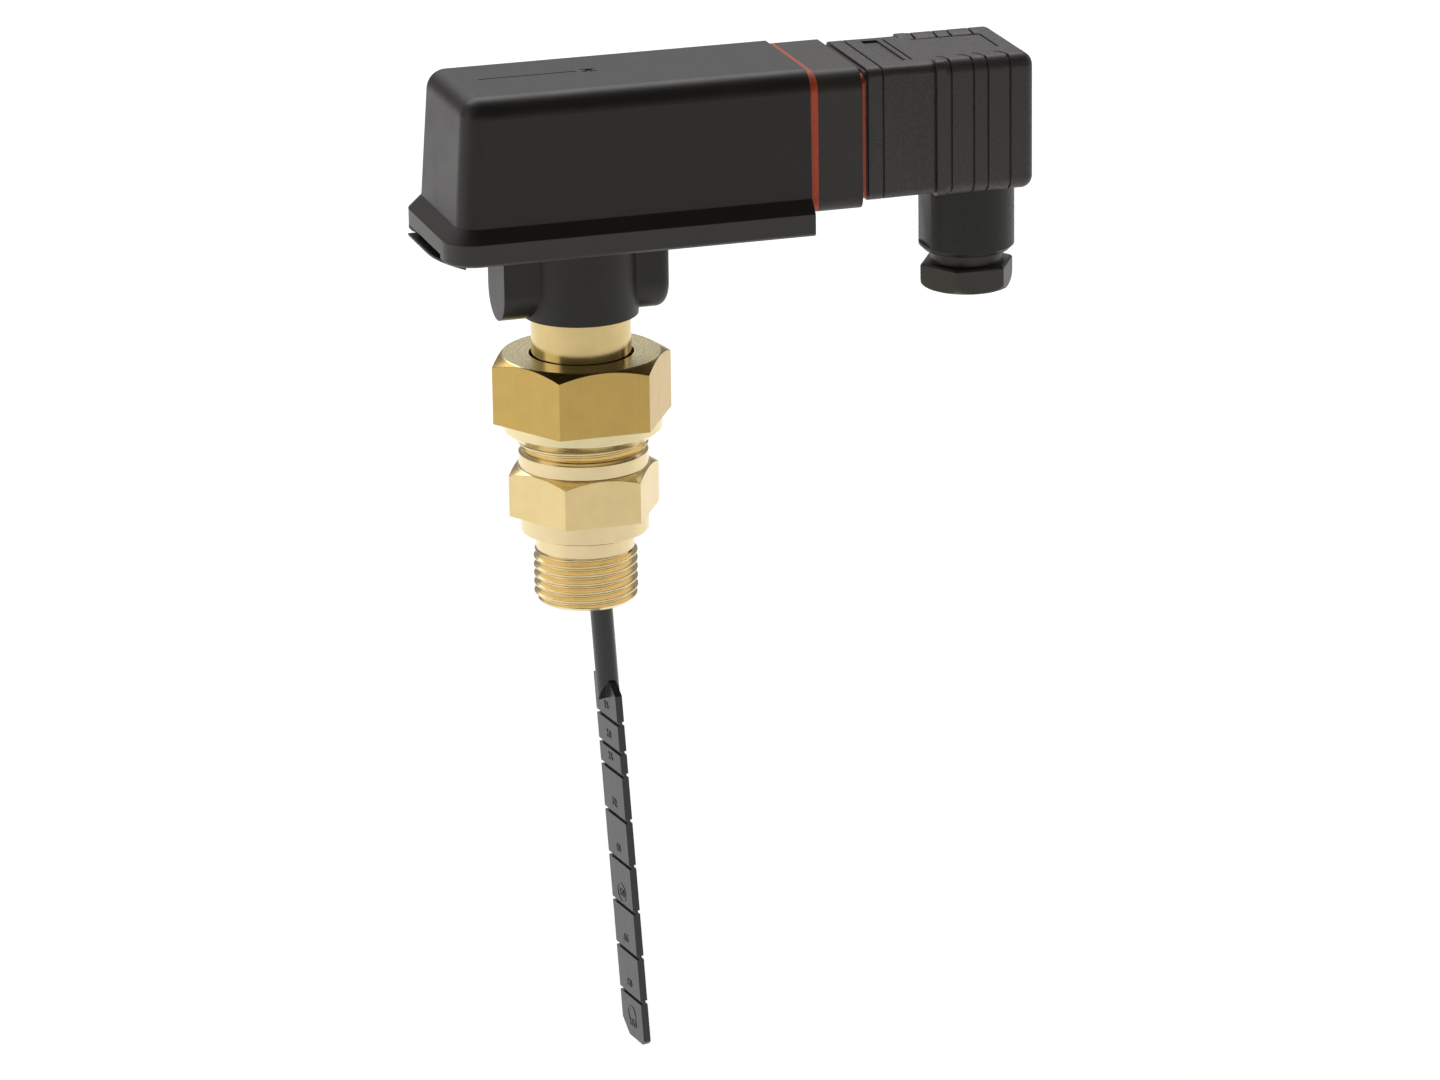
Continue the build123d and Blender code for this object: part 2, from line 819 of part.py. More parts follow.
# Switch board, seated on the socket's neck, with the reed switch under it
board_bottom = tube_top + board_over_tube
board_top = board_bottom + board_thickness
with BuildPart() as switch_board:
    with BuildSketch(Plane.XY.offset(board_bottom)):
        with Locations(((board_left + neck_left) / 2, 0)):
            RectangleRounded(neck_left - board_left, 2 * board_half_width, board_thickness)
    extrude(amount=board_thickness)
save(switch_board.part, "switch_board")

reed_level = board_bottom - reed_radius
reed_span = reed_length / 2 + reed_wire_reach
with BuildPart() as reed_switch:
    with BuildSketch(Plane.XZ):
        with Locations((0, reed_level)):
            Circle(reed_radius)
    extrude(amount=reed_length / 2, both=True)
    fillet(reed_switch.edges().filter_by(GeomType.CIRCLE), reed_end_round)
    with BuildSketch(Plane.XZ):
        with Locations((0, reed_level)):
            Circle(reed_wire_radius)
    extrude(amount=reed_span, both=True)
    with BuildSketch(Plane.XY.offset(reed_level)):
        with Locations((0, -reed_span), (0, reed_span)):
            Circle(reed_wire_radius)
    extrude(amount=reed_radius)
save(reed_switch.part, "reed_switch")

# Contacts: flat blades towards the plug, narrow tails down to the board
contact_end = socket_right + contact_reach
tail_left = neck_left - contact_tail_width
with BuildPart() as contact_blades:
    extrude(
        bars(neck_left, line_places, blade_contact_thickness, blade_contact_width),
        amount=contact_end - neck_left,
    )
    extrude(
        bars(neck_left, third_place, blade_contact_width, blade_contact_thickness),
        amount=contact_end - neck_left,
    )
    for y, z in line_places + third_place:
        thickness = blade_contact_thickness
        with BuildSketch(upright(tail_left)) as tail:
            with Locations((y, (board_top + z + thickness / 2) / 2)):
                Rectangle(thickness, z + thickness / 2 - board_top)
        extrude(tail.sketch, amount=contact_tail_width)
save(contact_blades.part, "contact_blades")

with BuildPart() as earth_blade:
    extrude(
        bars(neck_left, earth_place, blade_contact_width, blade_contact_thickness),
        amount=contact_end - neck_left,
    )
save(earth_blade.part, "earth_blade")

# Gasket between socket and plug
plug_low = house_bottom + plug_bottom
plug_high = house_bottom + plug_top
plug_shape = [plug_half_width, plug_low, plug_high, plug_edge_radius, plug_edge_radius]
gasket_shape = [
    plug_half_width - plug_gasket_inset,
    plug_low + plug_gasket_inset,
    plug_high - plug_gasket_inset,
    plug_edge_radius - plug_gasket_inset,
    plug_edge_radius - plug_gasket_inset,
]
cavity_half = plug_half_width - plug_wall
insert_half = cavity_half - insert_gap
cavity_corner = plug_edge_radius - insert_gap
with BuildPart() as plug_gasket:
    extrude(end_section(socket_right, *gasket_shape), amount=plug_gasket_thickness)
    extrude(
        square_section(socket_right, insert_half, cavity_corner),
        amount=plug_gasket_thickness,
        mode=Mode.SUBTRACT,
    )
save(plug_gasket.part, "plug_gasket")

# Plug housing: ribbed hood with a round neck for the cable gland
ribs_shape = [
    plug_half_width + rib_rise,
    plug_low - rib_rise,
    plug_high + rib_rise,
    plug_edge_radius + rib_rise,
    plug_edge_radius + rib_rise,
]
ring_cutter_size = 4 * plug_half_width
ring_cuts = [(0, rebate_width, rebate_depth), (collar_line_at, line_width, line_depth)]
screw_seat = plug_right - screw_head_recess
neck_plane = Plane((neck_axis, 0, cable_neck_bottom), x_dir=(1, 0, 0), z_dir=(0, 0, 1))
with BuildPart() as ribs:
    extrude(
        end_section(plug_left + rib_starts[0], *ribs_shape),
        amount=plug_length - rib_starts[0],
    )
    fillet(ribs.faces().sort_by(Axis.X)[-1].edges(), plug_edge_radius)
    for face, rise in ((plug_low, -rib_rise), (plug_high, rib_rise)):
        with BuildSketch(upright(plug_left)) as fade:
            with BuildLine():
                Polyline(
                    (-rib_fade_end, face),
                    (-rib_fade_start, face + rise),
                    (rib_fade_start, face + rise),
                    (rib_fade_end, face),
                    close=True,
                )
            make_face()
        extrude(fade.sketch, amount=plug_length, mode=Mode.SUBTRACT)
    for start in rib_starts[1:]:
        groove_left = plug_left + start - line_width / 2
        extrude(
            bars(groove_left, neck_place, ring_cutter_size, ring_cutter_size),
            amount=line_width,
            mode=Mode.SUBTRACT,
        )

with BuildPart() as plug_housing:
    extrude(end_section(plug_left, *plug_shape), amount=plug_length)
    fillet(plug_housing.faces().sort_by(Axis.X)[-1].edges(), plug_edge_radius)
    add(ribs.part)
    with BuildSketch(neck_plane):
        Circle(cable_neck_radius)
    extrude(amount=cable_neck_drop + plug_edge_radius)
    neck_foot = plug_housing.edges().group_by(Axis.Z)[0]
    chamfer(neck_foot, cable_neck_chamfer)
    with BuildSketch(Plane.XY.offset(plug_high)) as marks:
        with Locations((plug_left + panel_at + panel_length / 2, (panel_near + panel_far) / 2)):
            Rectangle(panel_length, panel_far - panel_near)
        with Locations((plug_left + cross_line_at, (panel_near + panel_far) / 2)):
            Rectangle(line_width, panel_far - panel_near)
        with Locations((plug_left + frame_at + frame_length / 2, frame_side)):
            Rectangle(frame_length, frame_line_width)
        with Locations((plug_left + frame_at + frame_length, frame_side - frame_end_width / 2)):
            Rectangle(line_width, frame_end_width)
        for start in rib_starts:
            for side in (-1, 1):
                with BuildLine() as hook:
                    groove = Line(
                        (plug_left + start, side * plug_half_width),
                        (plug_left + start, side * (hook_end + hook_radius)),
                    )
                    hook_tip = (plug_left + start - hook_radius, side * hook_end)
                    TangentArc(groove @ 1, hook_tip, tangent=(0, -side))
                trace(line_width=line_width)
    extrude(marks.sketch, amount=-line_depth, mode=Mode.SUBTRACT)
    first_groove_left = plug_left + rib_starts[0] - line_width
    side_faces = [(-plug_half_width, plug_centre), (plug_half_width, plug_centre)]
    extrude(
        bars(first_groove_left, side_faces, 2 * line_depth, plug_high - plug_low),
        amount=line_width,
        mode=Mode.SUBTRACT,
    )
    for at, width, depth in ring_cuts:
        with BuildSketch(upright(plug_left + at)) as ring_cut:
            with Locations((0, plug_centre)):
                Rectangle(ring_cutter_size, ring_cutter_size)
                RectangleRounded(
                    2 * (plug_half_width - depth),
                    plug_high - plug_low - 2 * depth,
                    plug_edge_radius - depth,
                    mode=Mode.SUBTRACT,
                )
        extrude(ring_cut.sketch, amount=width, mode=Mode.SUBTRACT)
    extrude(
        square_section(plug_left, cavity_half, cavity_corner),
        amount=plug_length - plug_end_wall,
        mode=Mode.SUBTRACT,
    )
    extrude(
        discs(plug_left + insert_length, neck_place, screw_pillar_radius),
        amount=plug_length - insert_length - plug_end_wall,
    )
    extrude(
        discs(plug_left, neck_place, screw_radius + screw_clearance),
        amount=plug_length,
        mode=Mode.SUBTRACT,
    )
    extrude(
        discs(screw_seat, neck_place, screw_head_radius + collar_clearance),
        amount=screw_head_recess,
        mode=Mode.SUBTRACT,
    )
    with BuildSketch(neck_plane):
        Circle(gland_bore_radius)
    extrude(amount=gland_bore_depth, mode=Mode.SUBTRACT)
    with BuildSketch(neck_plane):
        Circle(cable_passage_radius)
    extrude(amount=cable_neck_drop + plug_wall, mode=Mode.SUBTRACT)
save(plug_housing.part, "plug_housing")

# Terminal block in the plug, with its clamps and their screws
half_clamp_pitch = clamp_pitch / 2
clamp_places = [
    (-half_clamp_pitch, plug_centre),
    (half_clamp_pitch, plug_centre),
    (0, plug_centre - half_clamp_pitch),
    (0, plug_centre + half_clamp_pitch),
]
insert_right = plug_left + insert_length
clamps_left = insert_right - clamp_length
open_wide = blade_contact_width + 2 * contact_clearance
open_thin = blade_contact_thickness + 2 * contact_clearance
slot_reach = contact_reach - plug_gasket_thickness + insert_slot_spare
with BuildPart() as plug_insert:
    extrude(
        square_section(plug_left, insert_half, cavity_corner - insert_gap),
        amount=insert_length,
    )
    extrude(
        bars(plug_left, line_places, open_thin, open_wide),
        amount=slot_reach,
        mode=Mode.SUBTRACT,
    )
    extrude(
        bars(plug_left, third_place + earth_place, open_wide, open_thin),
        amount=slot_reach,
        mode=Mode.SUBTRACT,
    )
    clamp_room = clamp_size + 2 * seat_clearance
    extrude(
        bars(clamps_left, clamp_places, clamp_room, clamp_room),
        amount=clamp_length,
        mode=Mode.SUBTRACT,
    )
    extrude(
        discs(plug_left, neck_place, screw_radius + screw_clearance),
        amount=insert_length,
        mode=Mode.SUBTRACT,
    )
save(plug_insert.part, "plug_insert")

with BuildPart() as terminal_clamps:
    extrude(bars(clamps_left, clamp_places, clamp_size, clamp_size), amount=clamp_length)
    extrude(
        discs(clamps_left, clamp_places, clamp_screw_radius + seat_clearance),
        amount=clamp_length,
        mode=Mode.SUBTRACT,
    )
save(terminal_clamps.part, "terminal_clamps")

with BuildPart() as terminal_screws:
    extrude(discs(clamps_left, clamp_places, clamp_screw_radius), amount=clamp_length)
    extrude(
        discs(insert_right, clamp_places, clamp_screw_head_radius),
        amount=clamp_screw_head_height,
    )
    extrude(
        bars(
            insert_right + clamp_screw_head_height - driver_slot_depth,
            clamp_places,
            2 * clamp_screw_head_radius,
            driver_slot_width,
        ),
        amount=driver_slot_depth,
        mode=Mode.SUBTRACT,
    )
save(terminal_screws.part, "terminal_screws")

# Long screw through the plug into the socket's bush
screw_tip = socket_right - screw_engagement
head_right = screw_seat + screw_head_height
with BuildPart() as fixing_screw:
    extrude(discs(screw_tip, neck_place, screw_radius), amount=screw_seat - screw_tip)
    extrude(discs(screw_seat, neck_place, screw_head_radius), amount=screw_head_height)
    extrude(
        bars(
            head_right - driver_slot_depth,
            neck_place,
            2 * screw_head_radius,
            driver_slot_width,
        ),
        amount=driver_slot_depth,
        mode=Mode.SUBTRACT,
    )
save(fixing_screw.part, "fixing_screw")

# Cable gland: sealing ring, washer and the screw that presses them
gland_outer = gland_bore_radius - gland_clearance
with BuildPart() as gland_seal:
    with BuildSketch(neck_plane.offset(gland_bore_depth - gland_seal_height)):
        Circle(gland_outer)
        Circle(cable_radius, mode=Mode.SUBTRACT)
    extrude(amount=gland_seal_height)
save(gland_seal.part, "gland_seal")

with BuildPart() as gland_washer:
    with BuildSketch(neck_plane.offset(gland_washer_bottom - cable_neck_bottom)):
        Circle(gland_outer)
        Circle(gland_mouth_radius, mode=Mode.SUBTRACT)
    extrude(amount=gland_washer_thickness)
save(gland_washer.part, "gland_washer")

with BuildPart() as gland_nut:
    hexagon(
        gland_hexagon,
        gland_hexagon_top - gland_hexagon_height,
        gland_hexagon_top,
        foot_angle=gland_foot_angle,
        centre=(neck_axis, 0),
    )
    with BuildSketch(neck_plane.offset(-gland_gap)):
        Circle(gland_outer)
    extrude(amount=gland_washer_bottom - gland_hexagon_top)
    with BuildSketch(neck_plane.offset(-gland_gap - gland_hexagon_height)):
        Circle(gland_mouth_radius)
    extrude(amount=gland_washer_bottom - gland_hexagon_top + gland_hexagon_height, mode=Mode.SUBTRACT)
save(gland_nut.part, "gland_nut")
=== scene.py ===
"""Looks of a paddle flow switch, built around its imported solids.

Everything is in metres, in the frame of the solids: the origin on the axis of
the brass tube, in the plane where the fitting seats, with +X to the plug.
"""

import math

import bmesh
import bpy
from bpy.props import FloatProperty, FloatVectorProperty, IntProperty, PointerProperty
from mathutils import Matrix, Vector


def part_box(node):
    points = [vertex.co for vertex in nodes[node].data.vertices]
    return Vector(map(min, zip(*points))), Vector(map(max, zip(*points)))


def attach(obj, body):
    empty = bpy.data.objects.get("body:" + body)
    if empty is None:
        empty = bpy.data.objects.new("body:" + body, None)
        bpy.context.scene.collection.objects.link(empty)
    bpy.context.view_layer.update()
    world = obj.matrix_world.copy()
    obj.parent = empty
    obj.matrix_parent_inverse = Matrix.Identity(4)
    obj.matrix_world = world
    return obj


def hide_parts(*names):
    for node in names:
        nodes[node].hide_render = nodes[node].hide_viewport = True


bl_info = {
    "name": "Paddle flow switch",
    "version": (1, 0, 0),
    "blender": (4, 5, 0),
    "location": "View3D > Sidebar > Flow switch",
    "description": "Dresses the packed solids of a paddle flow switch",
    "category": "Object",
}

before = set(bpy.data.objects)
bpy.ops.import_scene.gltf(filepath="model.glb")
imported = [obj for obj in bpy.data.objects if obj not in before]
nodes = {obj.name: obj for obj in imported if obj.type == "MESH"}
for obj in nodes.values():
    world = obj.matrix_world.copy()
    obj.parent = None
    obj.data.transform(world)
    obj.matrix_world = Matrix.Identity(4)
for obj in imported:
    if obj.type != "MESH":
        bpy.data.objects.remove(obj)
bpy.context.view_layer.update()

MM = 0.001
HOOD_PAINTED_LIGHT_RIM_TOP = 65.4 * MM
PAINTED_SHADE_NECK_TOP = 65.1 * MM
PLUG_MIDDLE = 78.75 * MM
PADDLE_PIVOT = 31.1 * MM
PADDLE_TURN = math.radians(7.0)
PADDLE_LEAN = math.radians(-3.73)
PADDLE_FACE = -0.75 * MM
fitting_low, fitting_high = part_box("fitting")
nut_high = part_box("union_nut")[1]
gasket_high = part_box("plug_gasket")[1]
gland_low, gland_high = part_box("gland_nut")


class FlowSwitchSizes(bpy.types.PropertyGroup):
    """Sizes of the details that the solids leave out."""

    pipe_crest: FloatProperty(
        name="Pipe thread crest",
        description="Radius over the crests of the pipe thread",
        default=10.46 * MM,
        unit="LENGTH",
    )
    pipe_root: FloatProperty(
        name="Pipe thread root",
        description="Radius at the roots of the pipe thread",
        default=9.32 * MM,
        unit="LENGTH",
    )
    union_crest: FloatProperty(
        name="Union thread crest",
        description="Radius over the crests of the union thread",
        default=13.2 * MM,
        unit="LENGTH",
    )
    union_root: FloatProperty(
        name="Union thread root",
        description="Radius at the roots of the union thread",
        default=12.06 * MM,
        unit="LENGTH",
    )
    pitch: FloatProperty(
        name="Thread pitch",
        description="Rise of both threads in one turn",
        default=1.814 * MM,
        unit="LENGTH",
    )
    number_height: FloatProperty(
        name="Number height",
        description="Height of the numbers on the paddle's segments",
        default=1.7 * MM,
        unit="LENGTH",
    )
    ring_radius: FloatProperty(
        name="Moulding ring radius",
        description="Radius of the round mould marks on the paddle",
        default=2.3 * MM,
        unit="LENGTH",
    )
    edge_radius: FloatProperty(
        name="Edge radius",
        description="How far the shading rounds the edges of machined pieces",
        default=0.15 * MM,
        unit="LENGTH",
    )
    turn_steps: IntProperty(
        name="Steps in a turn",
        description="How many faces go round a thread or a hexagon",
        default=288,
        min=72,
    )


class FlowSwitchColours(bpy.types.PropertyGroup):
    """Colours of the finishes."""

    hood: FloatVectorProperty(
        name="Hood",
        description="Moulded hood",
        subtype="COLOR",
        default=(0.0195, 0.0145, 0.0122),
    )
    # Painted light: the hood's own plastic, painted lighter along its foot; it is the same moulding
    # as the hood.
    rim: FloatVectorProperty(
        name="Hood rim",
        description="Rim along the foot of the hood, where the moulding is duller",
        subtype="COLOR",
        default=(0.047, 0.044, 0.038),
    )
    base: FloatVectorProperty(
        name="Base",
        description="Base with its collar",
        subtype="COLOR",
        default=(0.017, 0.0145, 0.0105),
    )
    socket: FloatVectorProperty(
        name="Socket",
        description="Appliance socket between the two gaskets",
        subtype="COLOR",
        default=(0.034, 0.030, 0.023),
    )
    plug: FloatVectorProperty(
        name="Plug",
        description="Grained plastic of the plug",
        subtype="COLOR",
        default=(0.052, 0.045, 0.042),
    )
    # Painted shade: the plug's own plastic, painted darker on the cable neck, where it lies under
    # the plug's body.
    neck_painted_shade: FloatVectorProperty(
        name="Cable neck",
        description="Smoother plastic of the plug's cable neck",
        subtype="COLOR",
        default=(0.0095, 0.0095, 0.0055),
    )
    gland: FloatVectorProperty(
        name="Gland",
        description="Hexagon screw of the cable gland",
        subtype="COLOR",
        default=(0.050, 0.046, 0.036),
    )
    paddle: FloatVectorProperty(
        name="Paddle",
        description="Filled plastic of the paddle",
        subtype="COLOR",
        default=(0.022, 0.0225, 0.022),
    )
    silicone: FloatVectorProperty(
        name="Silicone",
        description="Red gaskets of the socket",
        subtype="COLOR",
        default=(0.66, 0.09, 0.035),
    )
    fitting_brass: FloatVectorProperty(
        name="Fitting brass",
        description="Pale turned brass of the fitting",
        subtype="COLOR",
        default=(0.86, 0.67, 0.33),
    )
    # Partly painted light: the lathe's paler finish, raised further as a painted reflection of the
    # pale floor.
    fitting_turned_with_painted_reflection: FloatVectorProperty(
        name="Fitting, turned",
        description="Paler faces and threads that the lathe cut in the fitting",
        subtype="COLOR",
        default=(0.91, 0.74, 0.43),
    )
    nut_brass: FloatVectorProperty(
        name="Nut brass",
        description="Yellow drawn brass of the union nut",
        subtype="COLOR",
        default=(0.61, 0.415, 0.125),
    )
    # Partly painted light: the lathe's paler finish, raised further as a painted reflection of the
    # pale floor.
    nut_turned_with_painted_reflection: FloatVectorProperty(
        name="Nut, turned",
        description="Paler faces that the lathe cut in the union nut",
        subtype="COLOR",
        default=(0.92, 0.79, 0.46),
    )
    tube_brass: FloatVectorProperty(
        name="Tube brass",
        description="Turned brass of the tube",
        subtype="COLOR",
        default=(0.76, 0.58, 0.27),
    )
    steel: FloatVectorProperty(
        name="Steel",
        description="Screws, washers and pin",
        subtype="COLOR",
        default=(0.56, 0.56, 0.57),
    )
    board: FloatVectorProperty(
        name="Board",
        description="Lacquer of the switch board",
        subtype="COLOR",
        default=(0.02, 0.12, 0.05),
    )
    floor: FloatVectorProperty(
        name="Floor",
        description="Pale floor under the object",
        subtype="COLOR",
        default=(0.92, 0.92, 0.91),
    )


class Finish:
    """A node material under construction, with short ways to add its nodes."""

    def __init__(self, name, colour, roughness, metallic=0.0):
        self.material = bpy.data.materials.new(name)
        self.material.use_nodes = True
        self.tree = self.material.node_tree
        self.shader = self.tree.nodes["Principled BSDF"]
        self.shader.inputs["Base Color"].default_value = (*colour, 1.0)
        self.shader.inputs["Roughness"].default_value = roughness
        self.shader.inputs["Metallic"].default_value = metallic
        self.place = self.tree.nodes.new("ShaderNodeTexCoord")
        self.normal = None
        self.colour = None

    def add(self, kind, **settings):
        """Add a node and set its fields."""
        node = self.tree.nodes.new(kind)
        for field, value in settings.items():
            setattr(node, field, value)
        return node

    def join(self, source, target):
        """Link one socket to another."""
        self.tree.links.new(source, target)

    def stretched(self, scale):
        """Object coordinates stretched by three factors per metre."""
        mapping = self.add("ShaderNodeMapping")
        mapping.inputs["Scale"].default_value = scale
        self.join(self.place.outputs["Object"], mapping.inputs["Vector"])
        return mapping.outputs["Vector"]

    def noise(self, scale, detail=3.0, vector=None):
        """Noise of a scale per metre."""
        node = self.add("ShaderNodeTexNoise")
        node.inputs["Scale"].default_value = scale
        node.inputs["Detail"].default_value = detail
        self.join(vector or self.place.outputs["Object"], node.inputs["Vector"])
        return node.outputs["Fac"]

    def spread(self, value, low, high, from_low=0.3, from_high=0.7):
        """Map a texture value to a range."""
        node = self.add("ShaderNodeMapRange")
        node.inputs["From Min"].default_value = from_low
        node.inputs["From Max"].default_value = from_high
        node.inputs["To Min"].default_value = low
        node.inputs["To Max"].default_value = high
        self.join(value, node.inputs["Value"])
        return node.outputs["Result"]

    def rough(self, value, low, high):
        """Let the roughness follow a texture value."""
        self.join(self.spread(value, low, high), self.shader.inputs["Roughness"])

    def tint(self, value, dark, light):
        """Let the colour run between two colours with a texture value."""
        node = self.add("ShaderNodeMix", data_type="RGBA")
        node.inputs["A"].default_value = (*dark, 1.0)
        node.inputs["B"].default_value = (*light, 1.0)
        self.join(self.spread(value, 0.0, 1.0), node.inputs["Factor"])
        self.colour = node.outputs["Result"]
        self.join(self.colour, self.shader.inputs["Base Color"])

    def below(self, level, colour):
        """Paint another colour on what lies below a level; it paints light on the hood's foot and
        shade on the cable neck.
        """
        split = self.add("ShaderNodeSeparateXYZ")
        self.join(self.place.outputs["Object"], split.inputs["Vector"])
        low = self.add("ShaderNodeMath", operation="LESS_THAN")
        low.inputs[1].default_value = level
        self.join(split.outputs["Z"], low.inputs[0])
        node = self.add("ShaderNodeMix", data_type="RGBA")
        node.inputs["B"].default_value = (*colour, 1.0)
        self.join(low.outputs["Value"], node.inputs["Factor"])
        self.join(self.colour, node.inputs["A"])
        self.join(node.outputs["Result"], self.shader.inputs["Base Color"])

    def round_edges(self, radius):
        """Round the edges in the shading."""
        node = self.add("ShaderNodeBevel", samples=6)
        node.inputs["Radius"].default_value = radius
        self.normal = node.outputs["Normal"]
        self.join(self.normal, self.shader.inputs["Normal"])

    def bump(self, value, strength, distance):
        """Raise the surface by a texture value."""
        node = self.add("ShaderNodeBump")
        node.inputs["Strength"].default_value = strength
        node.inputs["Distance"].default_value = distance
        self.join(value, node.inputs["Height"])
        if self.normal:
            self.join(self.normal, node.inputs["Normal"])
        self.normal = node.outputs["Normal"]
        self.join(self.normal, self.shader.inputs["Normal"])


def shade(colour, factor):
    """The colour made lighter or darker by a factor."""
    return tuple(min(1.0, part * factor) for part in colour)


def smooth_plastic(name, colour, painted_low_colour=None, level=0.0):
    """Satin moulded plastic with a very fine grain."""
    finish = Finish(name, colour, 0.42)
    finish.round_edges(0.25 * MM)
    cloud = finish.noise(120.0, 4.0)
    finish.tint(cloud, shade(colour, 0.9), shade(colour, 1.12))
    # Below the level the colour is painted lighter: painted light along the hood's foot.
    if painted_low_colour:
        finish.below(level, painted_low_colour)
    finish.rough(cloud, 0.40, 0.46)
    finish.bump(finish.noise(5200.0, 2.0), 0.08, 0.04 * MM)
    return finish.material


def grained_plastic(name, colour, painted_low_colour, level):
    """Spark-eroded plastic with a coarse grain and small glints."""
    finish = Finish(name, colour, 0.5)
    finish.round_edges(0.2 * MM)
    grain = finish.noise(2600.0, 3.0)
    finish.tint(grain, shade(colour, 0.75), shade(colour, 1.35))
    # Below the level the colour is painted darker: painted shade on the cable neck.
    finish.below(level, painted_low_colour)
    finish.rough(finish.noise(3400.0, 2.0), 0.32, 0.58)
    finish.bump(grain, 0.35, 0.06 * MM)
    return finish.material


def filled_plastic(name, colour):
    """Glass-filled plastic with a faint mottle along the flow of the melt."""
    finish = Finish(name, colour, 0.4)
    finish.shader.inputs["Specular IOR Level"].default_value = 0.55
    finish.round_edges(0.15 * MM)
    flow = finish.noise(1.0, 4.0, finish.stretched((900.0, 900.0, 220.0)))
    finish.tint(flow, shade(colour, 0.88), shade(colour, 1.15))
    finish.rough(flow, 0.23, 0.32)
    finish.bump(finish.noise(4200.0, 3.0), 0.1, 0.04 * MM)
    return finish.material


def rubber(name, colour, glow=0.0):
    """Rubber or silicone with a soft skin."""
    finish = Finish(name, colour, 0.55)
    finish.shader.inputs["Subsurface Weight"].default_value = glow
    finish.shader.inputs["Subsurface Radius"].default_value = (1.0, 0.3, 0.2)
    finish.shader.inputs["Subsurface Scale"].default_value = 0.4 * MM
    finish.round_edges(0.3 * MM)
    cloud = finish.noise(900.0, 3.0)
    finish.tint(cloud, shade(colour, 0.88), shade(colour, 1.1))
    finish.rough(cloud, 0.48, 0.62)
    finish.bump(cloud, 0.1, 0.05 * MM)
    return finish.material


def turned_brass(name, colour, edge, roughness=0.17):
    """Brass off the lathe: very fine rings round the axis."""
    finish = Finish(name, colour, roughness, metallic=1.0)
    finish.round_edges(edge)
    rings = finish.noise(1.0, 2.0, finish.stretched((40.0, 40.0, 7000.0)))
    cloud = finish.noise(260.0, 4.0)
    finish.tint(cloud, shade(colour, 0.95), shade(colour, 1.04))
    finish.rough(rings, roughness - 0.02, roughness + 0.03)
    finish.bump(rings, 0.015, 0.01 * MM)
    return finish.material


def bar_brass(name, colour, turned_colour_with_painted_reflection, edge, flat_reach, roughness):
    """Hexagon bar: drawn flats, and paler faces where the lathe cut inside them; the paleness is
    partly the lathe's finish and partly painted light, a painted reflection of the pale floor.
    """
    finish = Finish(name, colour, roughness, metallic=1.0)
    finish.round_edges(edge)
    split = finish.add("ShaderNodeSeparateXYZ")
    finish.join(finish.place.outputs["Object"], split.inputs["Vector"])
    level = finish.add("ShaderNodeCombineXYZ")
    finish.join(split.outputs["X"], level.inputs["X"])
    finish.join(split.outputs["Y"], level.inputs["Y"])
    reach = finish.add("ShaderNodeVectorMath", operation="LENGTH")
    finish.join(level.outputs["Vector"], reach.inputs[0])
    turned = finish.add("ShaderNodeMath", operation="LESS_THAN")
    turned.inputs[1].default_value = flat_reach
    finish.join(reach.outputs["Value"], turned.inputs[0])
    lines = finish.noise(1.0, 3.0, finish.stretched((2400.0, 2400.0, 14.0)))
    rings = finish.add("ShaderNodeTexNoise", noise_dimensions="1D")
    rings.inputs["Scale"].default_value = 3200.0
    finish.join(reach.outputs["Value"], rings.inputs["W"])
    marks = finish.add("ShaderNodeMix", data_type="FLOAT")
    finish.join(turned.outputs["Value"], marks.inputs["Factor"])
    finish.join(lines, marks.inputs["A"])
    finish.join(rings.outputs["Fac"], marks.inputs["B"])
    texture = marks.outputs["Result"]
    # Turned faces get the paler colour: partly the real lathe finish, partly a painted reflection.
    shades = finish.add("ShaderNodeMix", data_type="RGBA")
    shades.inputs["A"].default_value = (*colour, 1.0)
    shades.inputs["B"].default_value = (*turned_colour_with_painted_reflection, 1.0)
    finish.join(turned.outputs["Value"], shades.inputs["Factor"])
    worn = finish.add("ShaderNodeVectorMath", operation="SCALE")
    finish.join(shades.outputs["Result"], worn.inputs[0])
    finish.join(finish.spread(finish.noise(300.0, 4.0), 0.96, 1.03), worn.inputs["Scale"])
    finish.join(worn.outputs["Vector"], finish.shader.inputs["Base Color"])
    finish.rough(texture, roughness - 0.03, roughness + 0.03)
    finish.bump(texture, 0.012, 0.01 * MM)
    return finish.material


def plain_metal(name, colour, roughness=0.32):
    """Steel or plated metal with faint scratches."""
    finish = Finish(name, colour, roughness, metallic=1.0)
    finish.round_edges(0.12 * MM)
    scratches = finish.noise(1.0, 3.0, finish.stretched((3000.0, 700.0, 3000.0)))
    finish.tint(scratches, shade(colour, 0.9), shade(colour, 1.08))
    finish.rough(scratches, roughness - 0.06, roughness + 0.1)
    finish.bump(scratches, 0.05, 0.02 * MM)
    return finish.material


def board_lacquer(name, colour):
    """Green lacquer over copper tracks."""
    finish = Finish(name, colour, 0.35)
    tracks = finish.add("ShaderNodeTexBrick")
    tracks.inputs["Scale"].default_value = 120.0
    tracks.inputs["Mortar Size"].default_value = 0.06
    tracks.inputs["Color1"].default_value = (*colour, 1.0)
    tracks.inputs["Color2"].default_value = (*shade(colour, 1.15), 1.0)
    tracks.inputs["Mortar"].default_value = (*shade(colour, 1.9), 1.0)
    finish.join(finish.place.outputs["Object"], tracks.inputs["Vector"])
    finish.join(tracks.outputs["Color"], finish.shader.inputs["Base Color"])
    finish.bump(tracks.outputs["Fac"], 0.2, 0.03 * MM)
    return finish.material


